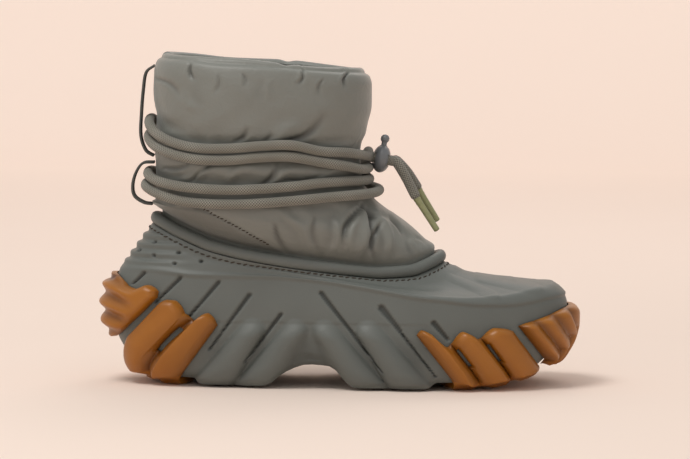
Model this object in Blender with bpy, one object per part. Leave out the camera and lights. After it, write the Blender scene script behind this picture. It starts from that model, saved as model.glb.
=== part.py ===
"""Insulated pull-on boot for the right foot: a moulded foam shoe with rubber treads and a padded nylon shaft.

The toe points along +X, the inner side of the foot is +Y and the floor is z = 0. Shapes are worked out from
the rearmost point of the heel, and an empty then moves them so that the origin is on the floor under the
heel.
Lengths are in metres. Tables hold shares of the sizes that their comments name.
"""
import math

import bmesh
import bpy
import numpy as np
from mathutils import Matrix, Vector

for thing in list(bpy.data.objects):
    bpy.data.objects.remove(thing)

# Overall sizes
LENGTH = 0.302
HEEL_WIDTH = 0.088
FOREFOOT_WIDTH = 0.118
SHOULDER_HEIGHT = 0.072
ARCH_HEIGHT = 0.014
TOE_SPRING = 0.0135
HEEL_REST = 0.048

# Foam shell
FLOOR_CLEARANCE = 0.001
RIM_REAR = 0.032
RIM_LENGTH = 0.184
RIM_WIDTH = 0.081
RIM_HEIGHT = 0.1013
RIM_WALL = 0.005
UPPER_WALL = 0.006
CUP_WALL = 0.011
LUG_SWELL = 0.0045
FOOTBED_HEEL = 0.036
FOOTBED_BALL = 0.027
FOOTBED_CUP = 0.005

# Rubber
TREAD = 0.0044
GROOVE = 0.0024
WAIST_REACH = 0.009
POD = 0.0038

# Trim, insole and shaft
GAP = 0.0003
PIPING_WIDTH = 0.007
PIPING_HEIGHT = 0.008
INSOLE = 0.004
INSOLE_CLEARANCE = 0.001
COLLAR_HEIGHT = 0.204
COLLAR_WIDTH = 0.106
COLLAR_SLOPE = 0.0045
SHAFT_WALL = 0.007
WEBBING = 0.0017
WEBBING_WIDTH = 0.015

# Drawcord and its lock
CORD = 0.0064
CORD_CLEARANCE = 0.0018
TIP = 0.0044
LOCK_DEPTH = 0.012
LOCK_WIDTH = 0.0205
LOCK_HEIGHT = 0.018
LOCK_LEAN = math.radians(10)
LOCK_CLEARANCE = 0.0004
PLUNGER_STEM = 0.005
PLUNGER_HEAD = 0.0059
PLUNGER_TRAVEL = 0.002

# Mesh steps
HEEL_COLUMNS = 10
TOE_COLUMNS = 13
SHAFT_COLUMNS = 21
EDGE_COLUMNS = 12
BLUNT = 2.6
OVAL = 2.25
PROBE = 0.0004


class Table:
    """Rows of sizes with named columns; the first column is where each row stands."""

    def __init__(self, names, *rows):
        self.names = names.split()
        self.rows = np.array(rows, float)

    def column(self, name):
        return self.rows[:, self.names.index(name)]

    def at(self, name, where):
        """Reads a column along a smooth curve that doesn't overshoot its rows."""
        place = self.rows[:, 0]
        value = self.column(name)
        run = np.diff(place)
        rise = np.diff(value) / run
        turning = rise[:-1] * rise[1:]
        steady = turning > 0
        slope = np.concatenate((rise[:1], np.zeros(len(value) - 2), rise[-1:]))
        slope[1:-1] = np.where(steady, 2 * turning / np.where(steady, rise[:-1] + rise[1:], 1), 0)
        where = np.clip(where, place[0], place[-1])
        row = np.clip(np.searchsorted(place, where, side="right") - 1, 0, len(run) - 1)
        f = (where - place[row]) / run[row]
        start = (1 + 2 * f) * (1 - f) ** 2 * value[row] + f * (1 - f) ** 2 * run[row] * slope[row]
        end = f * f * (3 - 2 * f) * value[row + 1] - f * f * (1 - f) * run[row] * slope[row + 1]
        return start + end


# Half widths of the foam seen from above: shares of HEEL_WIDTH, turning to FOREFOOT_WIDTH as ball goes to 1.
OUTLINE = Table(
    "station lateral medial ball bend",
    (0.00, 0.520, 0.515, 0.00, 0.000),
    (0.20, 0.530, 0.515, 0.00, 0.000),
    (0.36, 0.525, 0.505, 0.05, 0.000),
    (0.50, 0.510, 0.480, 0.45, 0.000),
    (0.67, 0.490, 0.465, 1.00, 0.000),
    (0.80, 0.500, 0.490, 1.00, 0.010),
    (1.00, 0.530, 0.555, 1.00, 0.050),
)
# Heights along the shoe. Rubber: 1 where a tread covers the foam. Arch, lift, shoulder: parts of ARCH_HEIGHT,
# TOE_SPRING and SHOULDER_HEIGHT.
HEIGHTS = Table(
    "station rubber arch lift shoulder",
    (0.000, 1, 0.00, 0.20, 1.000),
    (0.093, 1, 0.00, 0.20, 1.020),
    (0.126, 1, 0.00, 0.00, 1.010),
    (0.192, 1, 0.00, 0.00, 0.986),
    (0.219, 0, 0.00, 0.00, 0.986),
    (0.338, 0, 0.00, 0.00, 0.986),
    (0.371, 0, 0.45, 0.00, 0.982),
    (0.437, 0, 1.00, 0.00, 0.961),
    (0.483, 0, 0.93, 0.00, 0.940),
    (0.543, 0, 0.00, 0.00, 0.905),
    (0.679, 0, 0.00, 0.00, 0.810),
    (0.709, 1, 0.00, 0.00, 0.797),
    (0.795, 1, 0.00, 0.00, 0.757),
    (0.854, 1, 0.00, 0.20, 0.752),
    (0.907, 1, 0.00, 0.52, 0.772),
    (0.947, 1, 0.00, 1.00, 0.800),
    (1.000, 1, 0.00, 1.00, 0.810),
)
# Rings of the side from the tread's edge, rise 0, to the shoulder, rise 1: ends as shares of LENGTH, flare as
# a share of HEEL_WIDTH added to each half width.
SIDE = Table(
    "rise rear front flare",
    (0.00, 0.093, 0.947, -0.050),
    (0.06, 0.066, 0.960, -0.022),
    (0.17, 0.046, 0.971, -0.006),
    (0.35, 0.025, 0.983, 0.000),
    (0.55, 0.014, 0.988, 0.000),
    (0.70, 0.0125, 0.988, -0.006),
    (0.87, 0.020, 0.987, -0.022),
    (1.00, 0.030, 0.981, -0.036),
)
# The side's columns: where a column stands on the middle ring and where its foot is on the tread's edge.
FAN = Table(
    "middle foot",
    (0.000, 0.000),
    (0.130, 0.040),
    (0.216, 0.090),
    (0.297, 0.167),
    (0.389, 0.264),
    (0.416, 0.310),
    (0.4345, 0.405),
    (0.453, 0.500),
    (0.478, 0.548),
    (0.575, 0.662),
    (0.660, 0.763),
    (0.889, 0.965),
    (1.000, 1.000),
)
MIDDLE_RISE = 0.45
# How far the columns lean forward on the rim.
RIM_FAN = 0.45
# Foam lugs of the waist, as places and half widths on the middle ring.
LUGS = Table(
    "middle half",
    (0.297, 0.045),
    (0.388, 0.041),
    (0.480, 0.041),
    (0.575, 0.047),
)
LUG_TOP = 0.62
# Fingers of the rubber pods, from the heel forwards: where a column starts in the side view as shares of
# LENGTH and SHOULDER_HEIGHT, how far it leans back for each step down, and the fullness of its pod and of its
# lug underneath.
HEEL_FINGERS = Table(
    "x height lean pod lug",
    (0.119, 0.715, 0.91, 0.40, 0.6),
    (0.137, 0.761, 0.91, 0.90, 1.0),
    (0.154, 0.757, 0.91, 1.00, 1.0),
    (0.167, 0.715, 0.91, 1.00, 1.0),
    (0.1755, 0.646, 0.91, 0.85, 1.0),
    (0.177, 0.615, 0.91, 0.50, 0.3),
    (0.178, 0.578, 0.91, 0.50, 0.3),
    (0.182, 0.530, 0.89, 0.80, 0.8),
    (0.205, 0.625, 0.85, 0.95, 1.0),
    (0.2235, 0.653, 0.79, 1.00, 1.0),
    (0.237, 0.611, 0.74, 0.90, 1.0),
    (0.2445, 0.549, 0.71, 0.40, 1.0),
)
FOREFOOT_FINGERS = Table(
    "x height lean pod lug",
    (0.6605, 0.493, -0.80, 0.40, 1.0),
    (0.6705, 0.535, -0.80, 0.90, 1.0),
    (0.689, 0.507, -0.80, 1.00, 1.0),
    (0.7085, 0.4375, -0.80, 0.90, 1.0),
    (0.726, 0.389, -0.80, 0.55, 0.5),
    (0.732, 0.4125, -0.80, 0.50, 0.2),
    (0.737, 0.4375, -0.80, 0.50, 0.2),
    (0.7445, 0.483, -0.80, 0.80, 1.0),
    (0.7565, 0.521, -0.80, 1.00, 1.0),
    (0.7765, 0.490, -0.79, 0.95, 1.0),
    (0.790, 0.458, -0.78, 0.55, 0.5),
    (0.7945, 0.464, -0.77, 0.50, 0.2),
    (0.800, 0.482, -0.76, 0.50, 0.2),
    (0.8085, 0.518, -0.76, 0.80, 1.0),
    (0.823, 0.551, -0.75, 1.00, 1.0),
    (0.846, 0.542, -0.75, 0.95, 1.0),
    (0.8625, 0.521, -0.75, 0.40, 0.6),
)
TOE_FINGERS = Table(
    "x height lean pod lug",
    (0.874, 0.5625, -0.80, 0.40, 1),
    (0.887, 0.581, -0.85, 0.95, 1),
    (0.904, 0.600, -0.85, 0.65, 1),
    (0.9205, 0.619, -0.80, 1.00, 1),
    (0.9405, 0.646, -0.70, 0.65, 1),
    (0.9585, 0.674, -0.50, 1.00, 1),
    (0.972, 0.694, -0.30, 0.70, 1),
    (0.984, 0.705, -0.10, 1.00, 1),
)
# The pod at the back of the heel, by distance round the girth in shares of LENGTH: its top edge as a share of
# SHOULDER_HEIGHT and its fullness. Its low edge keeps POD_GROOVE above the first finger.
HEEL_POD = Table(
    "girth top pod",
    (0.000, 0.958, 1.00),
    (0.025, 0.956, 0.90),
    (0.045, 0.949, 0.85),
    (0.063, 0.926, 0.90),
    (0.080, 0.896, 1.00),
    (0.095, 0.861, 0.75),
    (0.116, 0.844, 0.90),
    (0.142, 0.882, 1.00),
    (0.157, 0.861, 0.90),
    (0.167, 0.830, 0.40),
)
FINGER_GIRTH = 0.034
BACK_GIRTH = 0.05
POD_BOW = 0.0011
POD_EDGE_GAP = 0.00048
HEEL_TURN = 0.032
POD_GROOVE = 0.0056
FINGER_ROWS = (0.0, 0.10, 0.30, 0.52, 0.74, 0.90, 1.0)
POD_ROWS = (0.0, 0.16, 0.50, 0.84, 1.0)
SLOT_ROWS = (1, 2)
# Rings of the shaft from hem to collar. Follow: 1 on the rim's curve, 0 on an oval of its own. Side, ends and
# lift move a ring off the rim's curve, as shares of RIM_WIDTH; rear and front are shares of LENGTH,
# half of COLLAR_WIDTH, height of COLLAR_HEIGHT; heel raises the ring's rear, as a share of COLLAR_HEIGHT.
SHAFT = Table(
    "ring follow side ends lift rear front half height heel",
    (0, 1.00, -0.090, -0.080, -0.100, 0.105, 0.56, 0.470, 0.570, 0.000),
    (1, 1.00, -0.052, -0.052, 0.000, 0.105, 0.56, 0.470, 0.570, 0.000),
    (2, 1.00, -0.049, -0.049, 0.104, 0.105, 0.56, 0.470, 0.570, 0.000),
    (3, 0.80, 0.050, 0.020, 0.150, 0.105, 0.565, 0.490, 0.570, 0.000),
    (4, 0.40, 0.100, 0.060, 0.180, 0.105, 0.568, 0.495, 0.570, 0.000),
    (5, 0.00, 0.000, 0.000, 0.000, 0.106, 0.562, 0.470, 0.598, 0.012),
    (6, 0.00, 0.000, 0.000, 0.000, 0.106, 0.545, 0.465, 0.637, 0.020),
    (7, 0.00, 0.000, 0.000, 0.000, 0.103, 0.543, 0.495, 0.680, 0.045),
    (8, 0.00, 0.000, 0.000, 0.000, 0.108, 0.540, 0.465, 0.715, 0.075),
    (9, 0.00, 0.000, 0.000, 0.000, 0.108, 0.543, 0.468, 0.755, 0.078),
    (10, 0.00, 0.000, 0.000, 0.000, 0.102, 0.556, 0.500, 0.815, 0.055),
    (11, 0.00, 0.000, 0.000, 0.000, 0.099, 0.564, 0.508, 0.880, 0.020),
    (12, 0.00, 0.000, 0.000, 0.000, 0.100, 0.565, 0.500, 0.955, 0.000),
    (13, 0.00, 0.000, 0.000, 0.000, 0.107, 0.560, 0.480, 0.990, 0.000),
    (14, 0.00, 0.000, 0.000, 0.000, 0.116, 0.550, 0.450, 1.000, 0.000),
)
# The lining's rings run down again on the inside of these rings of the outer face.
LINING_RINGS = (12, 10, 8, 5, 2, 0)
# Webbing loops behind the heel: shares of LENGTH and COLLAR_HEIGHT along the middle of the band.
UPPER_LOOP = Table(
    "row x height",
    (0, 0.0945, 0.995),
    (1, 0.083, 0.972),
    (2, 0.077, 0.915),
    (3, 0.0735, 0.845),
    (4, 0.0725, 0.775),
    (5, 0.083, 0.728),
    (6, 0.1005, 0.7100),
)
LOWER_LOOP = Table(
    "row x height",
    (0, 0.0975, 0.690),
    (1, 0.077, 0.686),
    (2, 0.062, 0.655),
    (3, 0.0555, 0.615),
    (4, 0.0600, 0.582),
    (5, 0.080, 0.562),
    (6, 0.1010, 0.558),
)
# The collar opening: half widths and heights as shares of RIM_WIDTH and RIM_HEIGHT.
RIM = Table(
    "share half height",
    (0.000, 0.460, 1.000),
    (0.070, 0.463, 0.940),
    (0.196, 0.475, 0.846),
    (0.321, 0.488, 0.793),
    (0.511, 0.500, 0.739),
    (0.699, 0.500, 0.698),
    (0.786, 0.495, 0.683),
    (0.886, 0.480, 0.690),
    (0.954, 0.460, 0.730),
    (1.000, 0.440, 0.769),
)
# The vamp's rise from the toe's shoulder to the rim.
CROWN = Table(
    "way rise",
    (0.00, 0.00),
    (0.045, 0.19),
    (0.09, 0.30),
    (0.18, 0.345),
    (0.47, 0.46),
    (0.61, 0.53),
    (0.82, 0.69),
    (0.91, 0.84),
    (1.00, 1.00),
)
SIDE_ROWS = (0.0, 0.06, 0.17, 0.30, 0.45, 0.60, 0.80, 1.0)
UPPER_ROWS = (0.05, 0.11, 0.35, 0.65, 0.88, 1.0)
# The cavity from the rim down: place on the foam, 2 at the rim and 1 at the shoulder, and the wall there.
INNER = Table(
    "place wall",
    (0.45, 0.95),
    (0.62, 0.90),
    (0.85, 0.70),
    (1.10, 0.12),
    (1.50, 0.00),
)
INNER_ROWS = (1.75, 1.4, 1.1, 0.85, 0.62)


def closing(share, power):
    """Rounds a ring off at both ends: 1 at its middle, 0 at its ends."""
    return (1 - np.abs(2 * share - 1) ** power) ** (1 / power)


def smooth_step(value, low, high):
    f = np.clip((value - low) / (high - low), 0, 1)
    return f * f * (3 - 2 * f)


def tread_height(x):
    """Underside of the foam above the floor."""
    station = x / LENGTH
    rubber = HEIGHTS.at("rubber", station) * (TREAD + GAP - FLOOR_CLEARANCE)
    arch = HEIGHTS.at("arch", station) * ARCH_HEIGHT
    return FLOOR_CLEARANCE + rubber + arch + HEIGHTS.at("lift", station) * TOE_SPRING


def shoulder_height(x):
    return HEIGHTS.at("shoulder", x / LENGTH) * SHOULDER_HEIGHT


def ring_ends(rise):
    return SIDE.at("rear", rise) * LENGTH, SIDE.at("front", rise) * LENGTH


def side_point(share, rise, side):
    """Point of the foam's side; side is -1 on the outer and +1 on the inner side of the foot."""
    rear, front = ring_ends(rise)
    x = rear + share * (front - rear)
    station = x / LENGTH
    width = HEEL_WIDTH + OUTLINE.at("ball", station) * (FOREFOOT_WIDTH - HEEL_WIDTH)
    half = np.where(side < 0, OUTLINE.at("lateral", station), OUTLINE.at("medial", station)) * width
    half = half + SIDE.at("flare", rise) * HEEL_WIDTH
    y = OUTLINE.at("bend", station) * FOREFOOT_WIDTH + side * half * closing(share, BLUNT)
    z = tread_height(x) * (1 - rise) + shoulder_height(x) * rise
    return np.stack((x, y, z), -1)


def rim_point(share, side, spread, lift):
    """Point beside the collar opening, moved outwards by spread and upwards by lift."""
    x = RIM_REAR - spread + share * (RIM_LENGTH + 2 * spread)
    half = RIM.at("half", share) * RIM_WIDTH + spread
    y = OUTLINE.at("bend", x / LENGTH) * FOREFOOT_WIDTH + side * half * closing(share, OVAL)
    z = RIM.at("height", share) * RIM_HEIGHT + lift + 0 * share
    return np.stack((x, y, z), -1)


def rim_share(middle):
    """Place on the rim of a column that stands at middle on the middle ring."""
    return middle + RIM_FAN * middle**2 * (1 - middle)


def foam_point(middle, place, side):
    """Point of the plain foam: place runs from 0 at the tread to 1 at the shoulder and 2 at the rim."""
    middle, place, side = np.broadcast_arrays(middle, place, side)
    rise = np.clip(place, 0, 1)
    down = np.clip(1 - rise / MIDDLE_RISE, 0, 1)
    share = middle + (FAN.at("foot", middle) - middle) * down
    low = side_point(share, rise, side)
    up = np.clip(place - 1, 0, 1)
    top = rim_point(rim_share(middle), side, RIM_WALL / 2, 0)
    toe = smooth_step(share, 0.55, 0.92)
    climb = up + (CROWN.at("rise", up) - up) * toe
    way = np.stack((up, up, climb), -1)
    return low + (top - low) * way


def girth_table():
    """Shares of the middle ring and the distance round it from the middle of the heel."""
    turn = np.cos(np.linspace(0, math.pi, 1201))
    share = 0.5 - 0.5 * np.sign(turn) * np.abs(turn) ** (2 / BLUNT)
    points = side_point(share, np.full_like(share, MIDDLE_RISE), np.full_like(share, -1))
    steps = np.linalg.norm(np.diff(points, axis=0), axis=1)
    return share, np.concatenate(((0,), np.cumsum(steps)))


GIRTH_SHARE, GIRTH_LENGTH = girth_table()


def share_at(girth):
    return np.interp(girth, GIRTH_LENGTH, GIRTH_SHARE)


def girth_at(share):
    return np.interp(share, GIRTH_SHARE, GIRTH_LENGTH)


def outward(point, along, place, side):
    """Outward unit normal of a surface given as point(along, place, side), where along runs by share."""
    girth = girth_at(along)
    ahead = share_at(girth + PROBE)
    behind = share_at(girth - PROBE)
    run = point(ahead, place, side) - point(behind, place, side)
    rise = point(along, place + 0.01, side) - point(along, place - 0.01, side)
    normal = np.cross(run, rise) * -np.asarray(side)[..., None]
    return normal / np.linalg.norm(normal, axis=-1, keepdims=True)


def lug_swell(middle, place):
    """How far the foam lugs of the waist swell out of the side."""
    swell = np.zeros_like(middle)
    for centre, half in LUGS.rows:
        round_over = np.clip(1 - ((middle - centre) / half) ** 2, 0, 1) ** 0.5
        swell = np.maximum(swell, round_over)
    return LUG_SWELL * swell * (1 - smooth_step(place, MIDDLE_RISE - 0.08, LUG_TOP))


def foam_skin(middle, place, side):
    """Outer surface of the foam with its lugs."""
    middle, place, side = np.broadcast_arrays(middle, place, side)
    plain = foam_point(middle, place, side)
    normal = outward(foam_point, middle, np.clip(place, 0.02, 1.98), side)
    normal[..., 2] *= 1 - smooth_step(-place, -0.2, 0.0)
    return plain + normal * lug_swell(middle, place)[..., None]


def foam_inside(middle, place, side):
    """Wall of the cavity, a wall's thickness inside the plain foam."""
    middle, place, side = np.broadcast_arrays(middle, place, side)
    plain = foam_point(middle, place, side)
    normal = outward(foam_point, middle, np.clip(place, 0.3, 1.9), side)
    wall = UPPER_WALL + INNER.at("wall", place) * (CUP_WALL - UPPER_WALL)
    return plain - normal * wall[..., None]


def footbed_height(x):
    ball = smooth_step(x / LENGTH, 0.30, 0.68)
    spring = HEIGHTS.at("lift", x / LENGTH) * TOE_SPRING * smooth_step(x / LENGTH, 0.5, 0.8)
    return FOOTBED_HEEL + (FOOTBED_BALL - FOOTBED_HEEL) * ball + 0.6 * spring


def footbed_ring(middle, side, inset):
    """Edge of the footbed, inset from the cup of the cavity."""
    middle, side = np.broadcast_arrays(middle, side)
    cup = foam_inside(middle, np.full_like(middle, MIDDLE_RISE), side)
    normal = outward(foam_point, middle, np.full_like(middle, MIDDLE_RISE), side)
    flat = normal * (1, 1, 0)
    flat /= np.linalg.norm(flat, axis=-1, keepdims=True)
    edge = cup - flat * inset
    edge[..., 2] = footbed_height(edge[..., 0])
    return edge


def shell_columns():
    """Places of the shell's columns on the middle ring: even at the ends, on each lug's crest and feet."""
    first = LUGS.rows[0]
    last = LUGS.rows[-1]
    heel = share_at(np.linspace(0, girth_at(first[0] - 1.25 * first[1]), HEEL_COLUMNS))
    toe = share_at(np.linspace(girth_at(last[0] + 1.25 * last[1]), GIRTH_LENGTH[-1], TOE_COLUMNS))
    waist = [centre + half * step for centre, half in LUGS.rows for step in (-1, -0.72, 0, 0.72, 1)]
    arch = ((LUGS.rows[1].sum() + LUGS.rows[2][0] - LUGS.rows[2][1]) / 2,)
    return np.sort(np.concatenate((heel, waist, arch, toe)))


def around(half):
    """Column values and sides of a whole ring: heel to toe on the outer side, and back on the inner side."""
    values = np.concatenate((half, half[-2:0:-1]))
    sides = np.concatenate((np.full(len(half), -1.0), np.full(len(half) - 2, 1.0)))
    return values, sides


class Solid:
    """Collects points and faces; points in the same place become one."""

    def __init__(self):
        self.places = {}
        self.points = []
        self.faces = []

    def add(self, points):
        """Adds an array of points and returns their numbers in an array of the same shape."""
        numbers = []
        for point in points.reshape(-1, 3):
            key = tuple(np.round(point, 7))
            if key not in self.places:
                self.places[key] = len(self.points)
                self.points.append(point)
            numbers.append(self.places[key])
        return np.array(numbers).reshape(points.shape[:-1])

    def face(self, numbers):
        corners = [n for i, n in enumerate(numbers) if n != numbers[i - 1]]
        if len(set(corners)) > 2:
            self.faces.append(corners)

    def sheet(self, grid, skipped=()):
        """Quads over a grid of numbered points, apart from the skipped cells."""
        for i in range(grid.shape[0] - 1):
            for j in range(grid.shape[1] - 1):
                if (i, j) not in skipped:
                    self.face((grid[i, j], grid[i, j + 1], grid[i + 1, j + 1], grid[i + 1, j]))

    def tube(self, grid):
        """Quads over rows of closed rings."""
        self.sheet(np.concatenate((grid, grid[:, :1]), axis=1))

    def build(self, name, material, flat_angle=35):
        mesh = bpy.data.meshes.new(name)
        mesh.from_pydata([tuple(p) for p in self.points], [], self.faces)
        work = bmesh.new()
        work.from_mesh(mesh)
        bmesh.ops.triangulate(work, faces=work.faces)
        bmesh.ops.recalc_face_normals(work, faces=work.faces)
        work.to_mesh(mesh)
        work.free()
        mesh.shade_smooth()
        mesh.set_sharp_from_angle(angle=math.radians(flat_angle))
        mesh.materials.append(material)
        piece = bpy.data.objects.new(name, mesh)
        bpy.context.collection.objects.link(piece)
        piece.parent = frame
        return piece


def across(ring, points_between):
    """Lines over a ring from its outer to its inner side, as a grid with one row for each column."""
    half = len(ring) // 2 + 1
    outer = ring[:half]
    inner = np.concatenate((ring[:1], ring[:half - 1:-1], ring[half - 1:half]))
    steps = np.linspace(0, 1, points_between + 2)[None, :, None]
    return outer[:, None] * (1 - steps) + inner[:, None] * steps


def thicken(sheets):
    """Makes one solid of sheets (outer grid, inner grid, skipped cells) and closes every open edge."""
    outer, inner = Solid(), Solid()
    pairs = {}
    for top, bottom, skipped in sheets:
        top_numbers = outer.add(top)
        bottom_numbers = inner.add(bottom)
        for a, b in zip(top_numbers.ravel(), bottom_numbers.ravel()):
            pairs.setdefault(int(a), int(b))
        outer.sheet(top_numbers, skipped)
    solid = Solid()
    tops = solid.add(np.array(outer.points))
    bottoms = solid.add(np.array([inner.points[pairs[i]] for i in range(len(outer.points))]))
    uses = {}
    for face in outer.faces:
        solid.face([tops[n] for n in face])
        solid.face([bottoms[n] for n in reversed(face)])
        for a, b in zip(face, face[1:] + face[:1]):
            edge = (min(a, b), max(a, b))
            uses[edge] = uses.get(edge, 0) + 1
    for (a, b), count in uses.items():
        if count == 1:
            solid.face((tops[b], tops[a], bottoms[a], bottoms[b]))
    return solid


def paint(name, colour, roughness, metallic=0.0):
    material = bpy.data.materials.new(name)
    material.use_nodes = True
    surface = material.node_tree.nodes["Principled BSDF"]
    surface.inputs["Base Color"].default_value = (*colour, 1)
    surface.inputs["Roughness"].default_value = roughness
    surface.inputs["Metallic"].default_value = metallic
    return material


FOAM = paint("grey_green_foam", (0.145, 0.150, 0.125), 0.55)
RUBBER = paint("gum_rubber", (0.47, 0.19, 0.035), 0.45)
NYLON = paint("padded_nylon", (0.135, 0.135, 0.115), 0.5)
LINING = paint("insole_felt", (0.10, 0.10, 0.09), 0.9)
BRAID = paint("braided_cord", (0.17, 0.15, 0.115), 0.8)
WEB = paint("woven_webbing", (0.09, 0.09, 0.085), 0.8)
SLEEVE = paint("olive_sleeve", (0.15, 0.15, 0.055), 0.4)
PLASTIC = paint("grey_plastic", (0.11, 0.12, 0.13), 0.35)

frame = bpy.data.objects.new("boot_frame", None)
bpy.context.collection.objects.link(frame)
frame.location = (-HEEL_REST, 0, 0)


def make_shell():
    """Hollow foam shoe: outer wall, rim, cavity and footbed as one closed surface."""
    middle, side = around(shell_columns())
    solid = Solid()
    rows = [foam_skin(middle, place, side) for place in SIDE_ROWS]
    rows += [foam_point(middle, 1 + up, side) for up in UPPER_ROWS]
    rows.append(rim_point(rim_share(middle), side, -RIM_WALL / 2, 0))
    rows += [foam_inside(middle, place, side) for place in INNER_ROWS]
    cup = foam_inside(middle, MIDDLE_RISE, side)
    cup[:, 2] = footbed_height(cup[:, 0]) + FOOTBED_CUP
    rows.append(cup)
    rows.append(footbed_ring(middle, side, FOOTBED_CUP))
    solid.tube(solid.add(np.array(rows)))
    underside = across(rows[0], 3)
    underside[:, 1:-1, 2] = tread_height(underside[:, 1:-1, 0])
    solid.sheet(solid.add(underside))
    footbed = across(rows[-1], 1)
    solid.sheet(solid.add(footbed))
    solid.build("shell", FOAM)


def make_insole():
    middle, side = around(shell_columns()[::2])
    low = footbed_ring(middle, side, FOOTBED_CUP + INSOLE_CLEARANCE) + (0, 0, GAP + 0.0002)
    high = low + (0, 0, INSOLE)
    solid = Solid()
    solid.tube(solid.add(np.array((low, high))))
    solid.sheet(solid.add(across(low, 1)))
    solid.sheet(solid.add(across(high, 1)))
    solid.build("insole", LINING)


def finger_line(row, steps):
    """Place of a finger's column on the rings, as shares, and its rise, from its top down to the tread."""
    x_top, height, lean, _, _ = row
    x_top, height = x_top * LENGTH, height * SHOULDER_HEIGHT
    rise_top = (height - tread_height(x_top)) / (shoulder_height(x_top) - tread_height(x_top))
    rise = rise_top * (1 - np.array(steps))
    x = np.full_like(rise, x_top)
    for _ in range(6):
        z = tread_height(x) * (1 - rise) + shoulder_height(x) * rise
        x = x_top - lean * (height - z)
    rear, front = ring_ends(rise)
    return (x - rear) / (front - rear), rise


def finger_grid(table, end):
    """Shares and rises of a pod's columns; where their lines run past an end they stay a step apart there."""
    shares, rises = [], []
    rows = table.rows if end != "toe" else table.rows[::-1]
    for number, row in enumerate(rows):
        share, rise = finger_line(row, FINGER_ROWS)
        edge = FINGER_GIRTH * (1 - (1 - (number + (end == "toe")) / EDGE_COLUMNS) ** 2)
        if end == "heel":
            edge = edge + BACK_GIRTH * (1 - np.array(FINGER_ROWS))
            share = np.maximum(share, share_at(edge))
        if end == "toe":
            share = np.minimum(share, share_at(GIRTH_LENGTH[-1] - edge))
        shares.append(share)
        rises.append(rise)
    shares, rises = np.array(shares).T, np.array(rises).T
    return (shares, rises) if end != "toe" else (shares[:, ::-1], rises[:, ::-1])


def pod_faces(share, rise, side, fullness):
    """Outer and inner face of a pod on the foam's side; the inner lifts off the foam between its edges."""
    point = side_point(share, rise, side)
    normal = outward(side_point, share, np.clip(rise, 0.02, 0.98), side)
    stand_off = np.full(share.shape, GAP + POD_BOW)
    stand_off += POD_BOW * (girth_at(share) < HEEL_TURN) * (rise < MIDDLE_RISE)
    stand_off[0] = stand_off[-1] = POD_EDGE_GAP
    inner = point + normal * stand_off[..., None]
    outer = inner + normal * (POD * fullness)[..., None]
    at_end = (share <= 0) | (share >= 1)
    for face in (outer, inner):
        face[..., 1] = np.where(at_end, point[..., 1], face[..., 1])
    return outer, inner


def edge_fullness(rows, columns_fullness):
    """Fullness over a grid of rows: thin at the top edge, full below it."""
    return np.interp(rows, (0, 0.10), (0.4, 1.0))[:, None] * columns_fullness


def sole_grid(side_outer, side_inner, other_outer, other_inner, lug, reach):
    """Tread between the feet of both sides, reaching towards the waist in the middle."""
    steps = np.array((0, 0.08, 0.30, 0.48, 0.52, 0.70, 0.92, 1.0))[None, :, None]
    outer = side_outer[:, None] * (1 - steps) + other_outer[:, None] * steps
    inner = side_inner[:, None] * (1 - steps) + other_inner[:, None] * steps
    bulge = reach[:, None] * np.sin(math.pi * steps[:, 1:-1, 0])
    outer[:, 1:-1, 0] += bulge
    inner[:, 1:-1, 0] += bulge
    level = tread_height(inner[:, 1:-1, 0]) - GAP - POD_BOW / 2
    inner[:, 1:-1, 2] = level
    depth = GROOVE + (TREAD - GROOVE) * lug[:, None] - POD_BOW / 2
    outer[:, 1:-1, 2] = level - depth
    return outer, inner


def make_tread(name, table, end, slots):
    """Rubber tread whose fingers climb both sides of the foam, with slots between some fingers."""
    sheets = []
    feet = []
    skipped = [(row, column) for row in SLOT_ROWS for column in slots]
    for side in (-1, 1):
        share, rise = finger_grid(table, end)
        sides = np.full_like(share, side)
        full = edge_fullness(FINGER_ROWS, table.column("pod"))
        outer, inner = pod_faces(share, rise, sides, full)
        foot_normal = (outer[-1] - inner[-1]) * (1, 1, 0)
        foot_normal /= np.linalg.norm(foot_normal, axis=-1, keepdims=True)
        ground = side_point(share[-1], rise[-1], sides[-1])
        inner[-1] = ground + foot_normal * GAP * 1.5 - (0, 0, GAP)
        outer[-1] = inner[-1] + foot_normal * POD * 0.55 - (0, 0, TREAD - GROOVE)
        sheets.append((outer, inner, skipped))
        feet.append((outer[-1], inner[-1]))
    way = np.linspace(0, 1, len(table.rows))
    reach = WAIST_REACH * (way**2 if end == "heel" else -((1 - way) ** 2))
    outer, inner = sole_grid(*feet[0], *feet[1], table.column("lug"), reach)
    sheets.append((outer, inner, ()))
    thicken(sheets).build(name, RUBBER)


def heel_pod_floor(share):
    """Rise of the pod's low edge, a groove above the rear edge of the first finger."""
    line_share, line_rise = finger_line(HEEL_FINGERS.rows[0], np.linspace(0, 1, 60))
    behind = line_share > 0
    edge = np.interp(share, line_share[behind][::-1], line_rise[behind][::-1])
    return edge + POD_GROOVE / SHOULDER_HEIGHT


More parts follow.
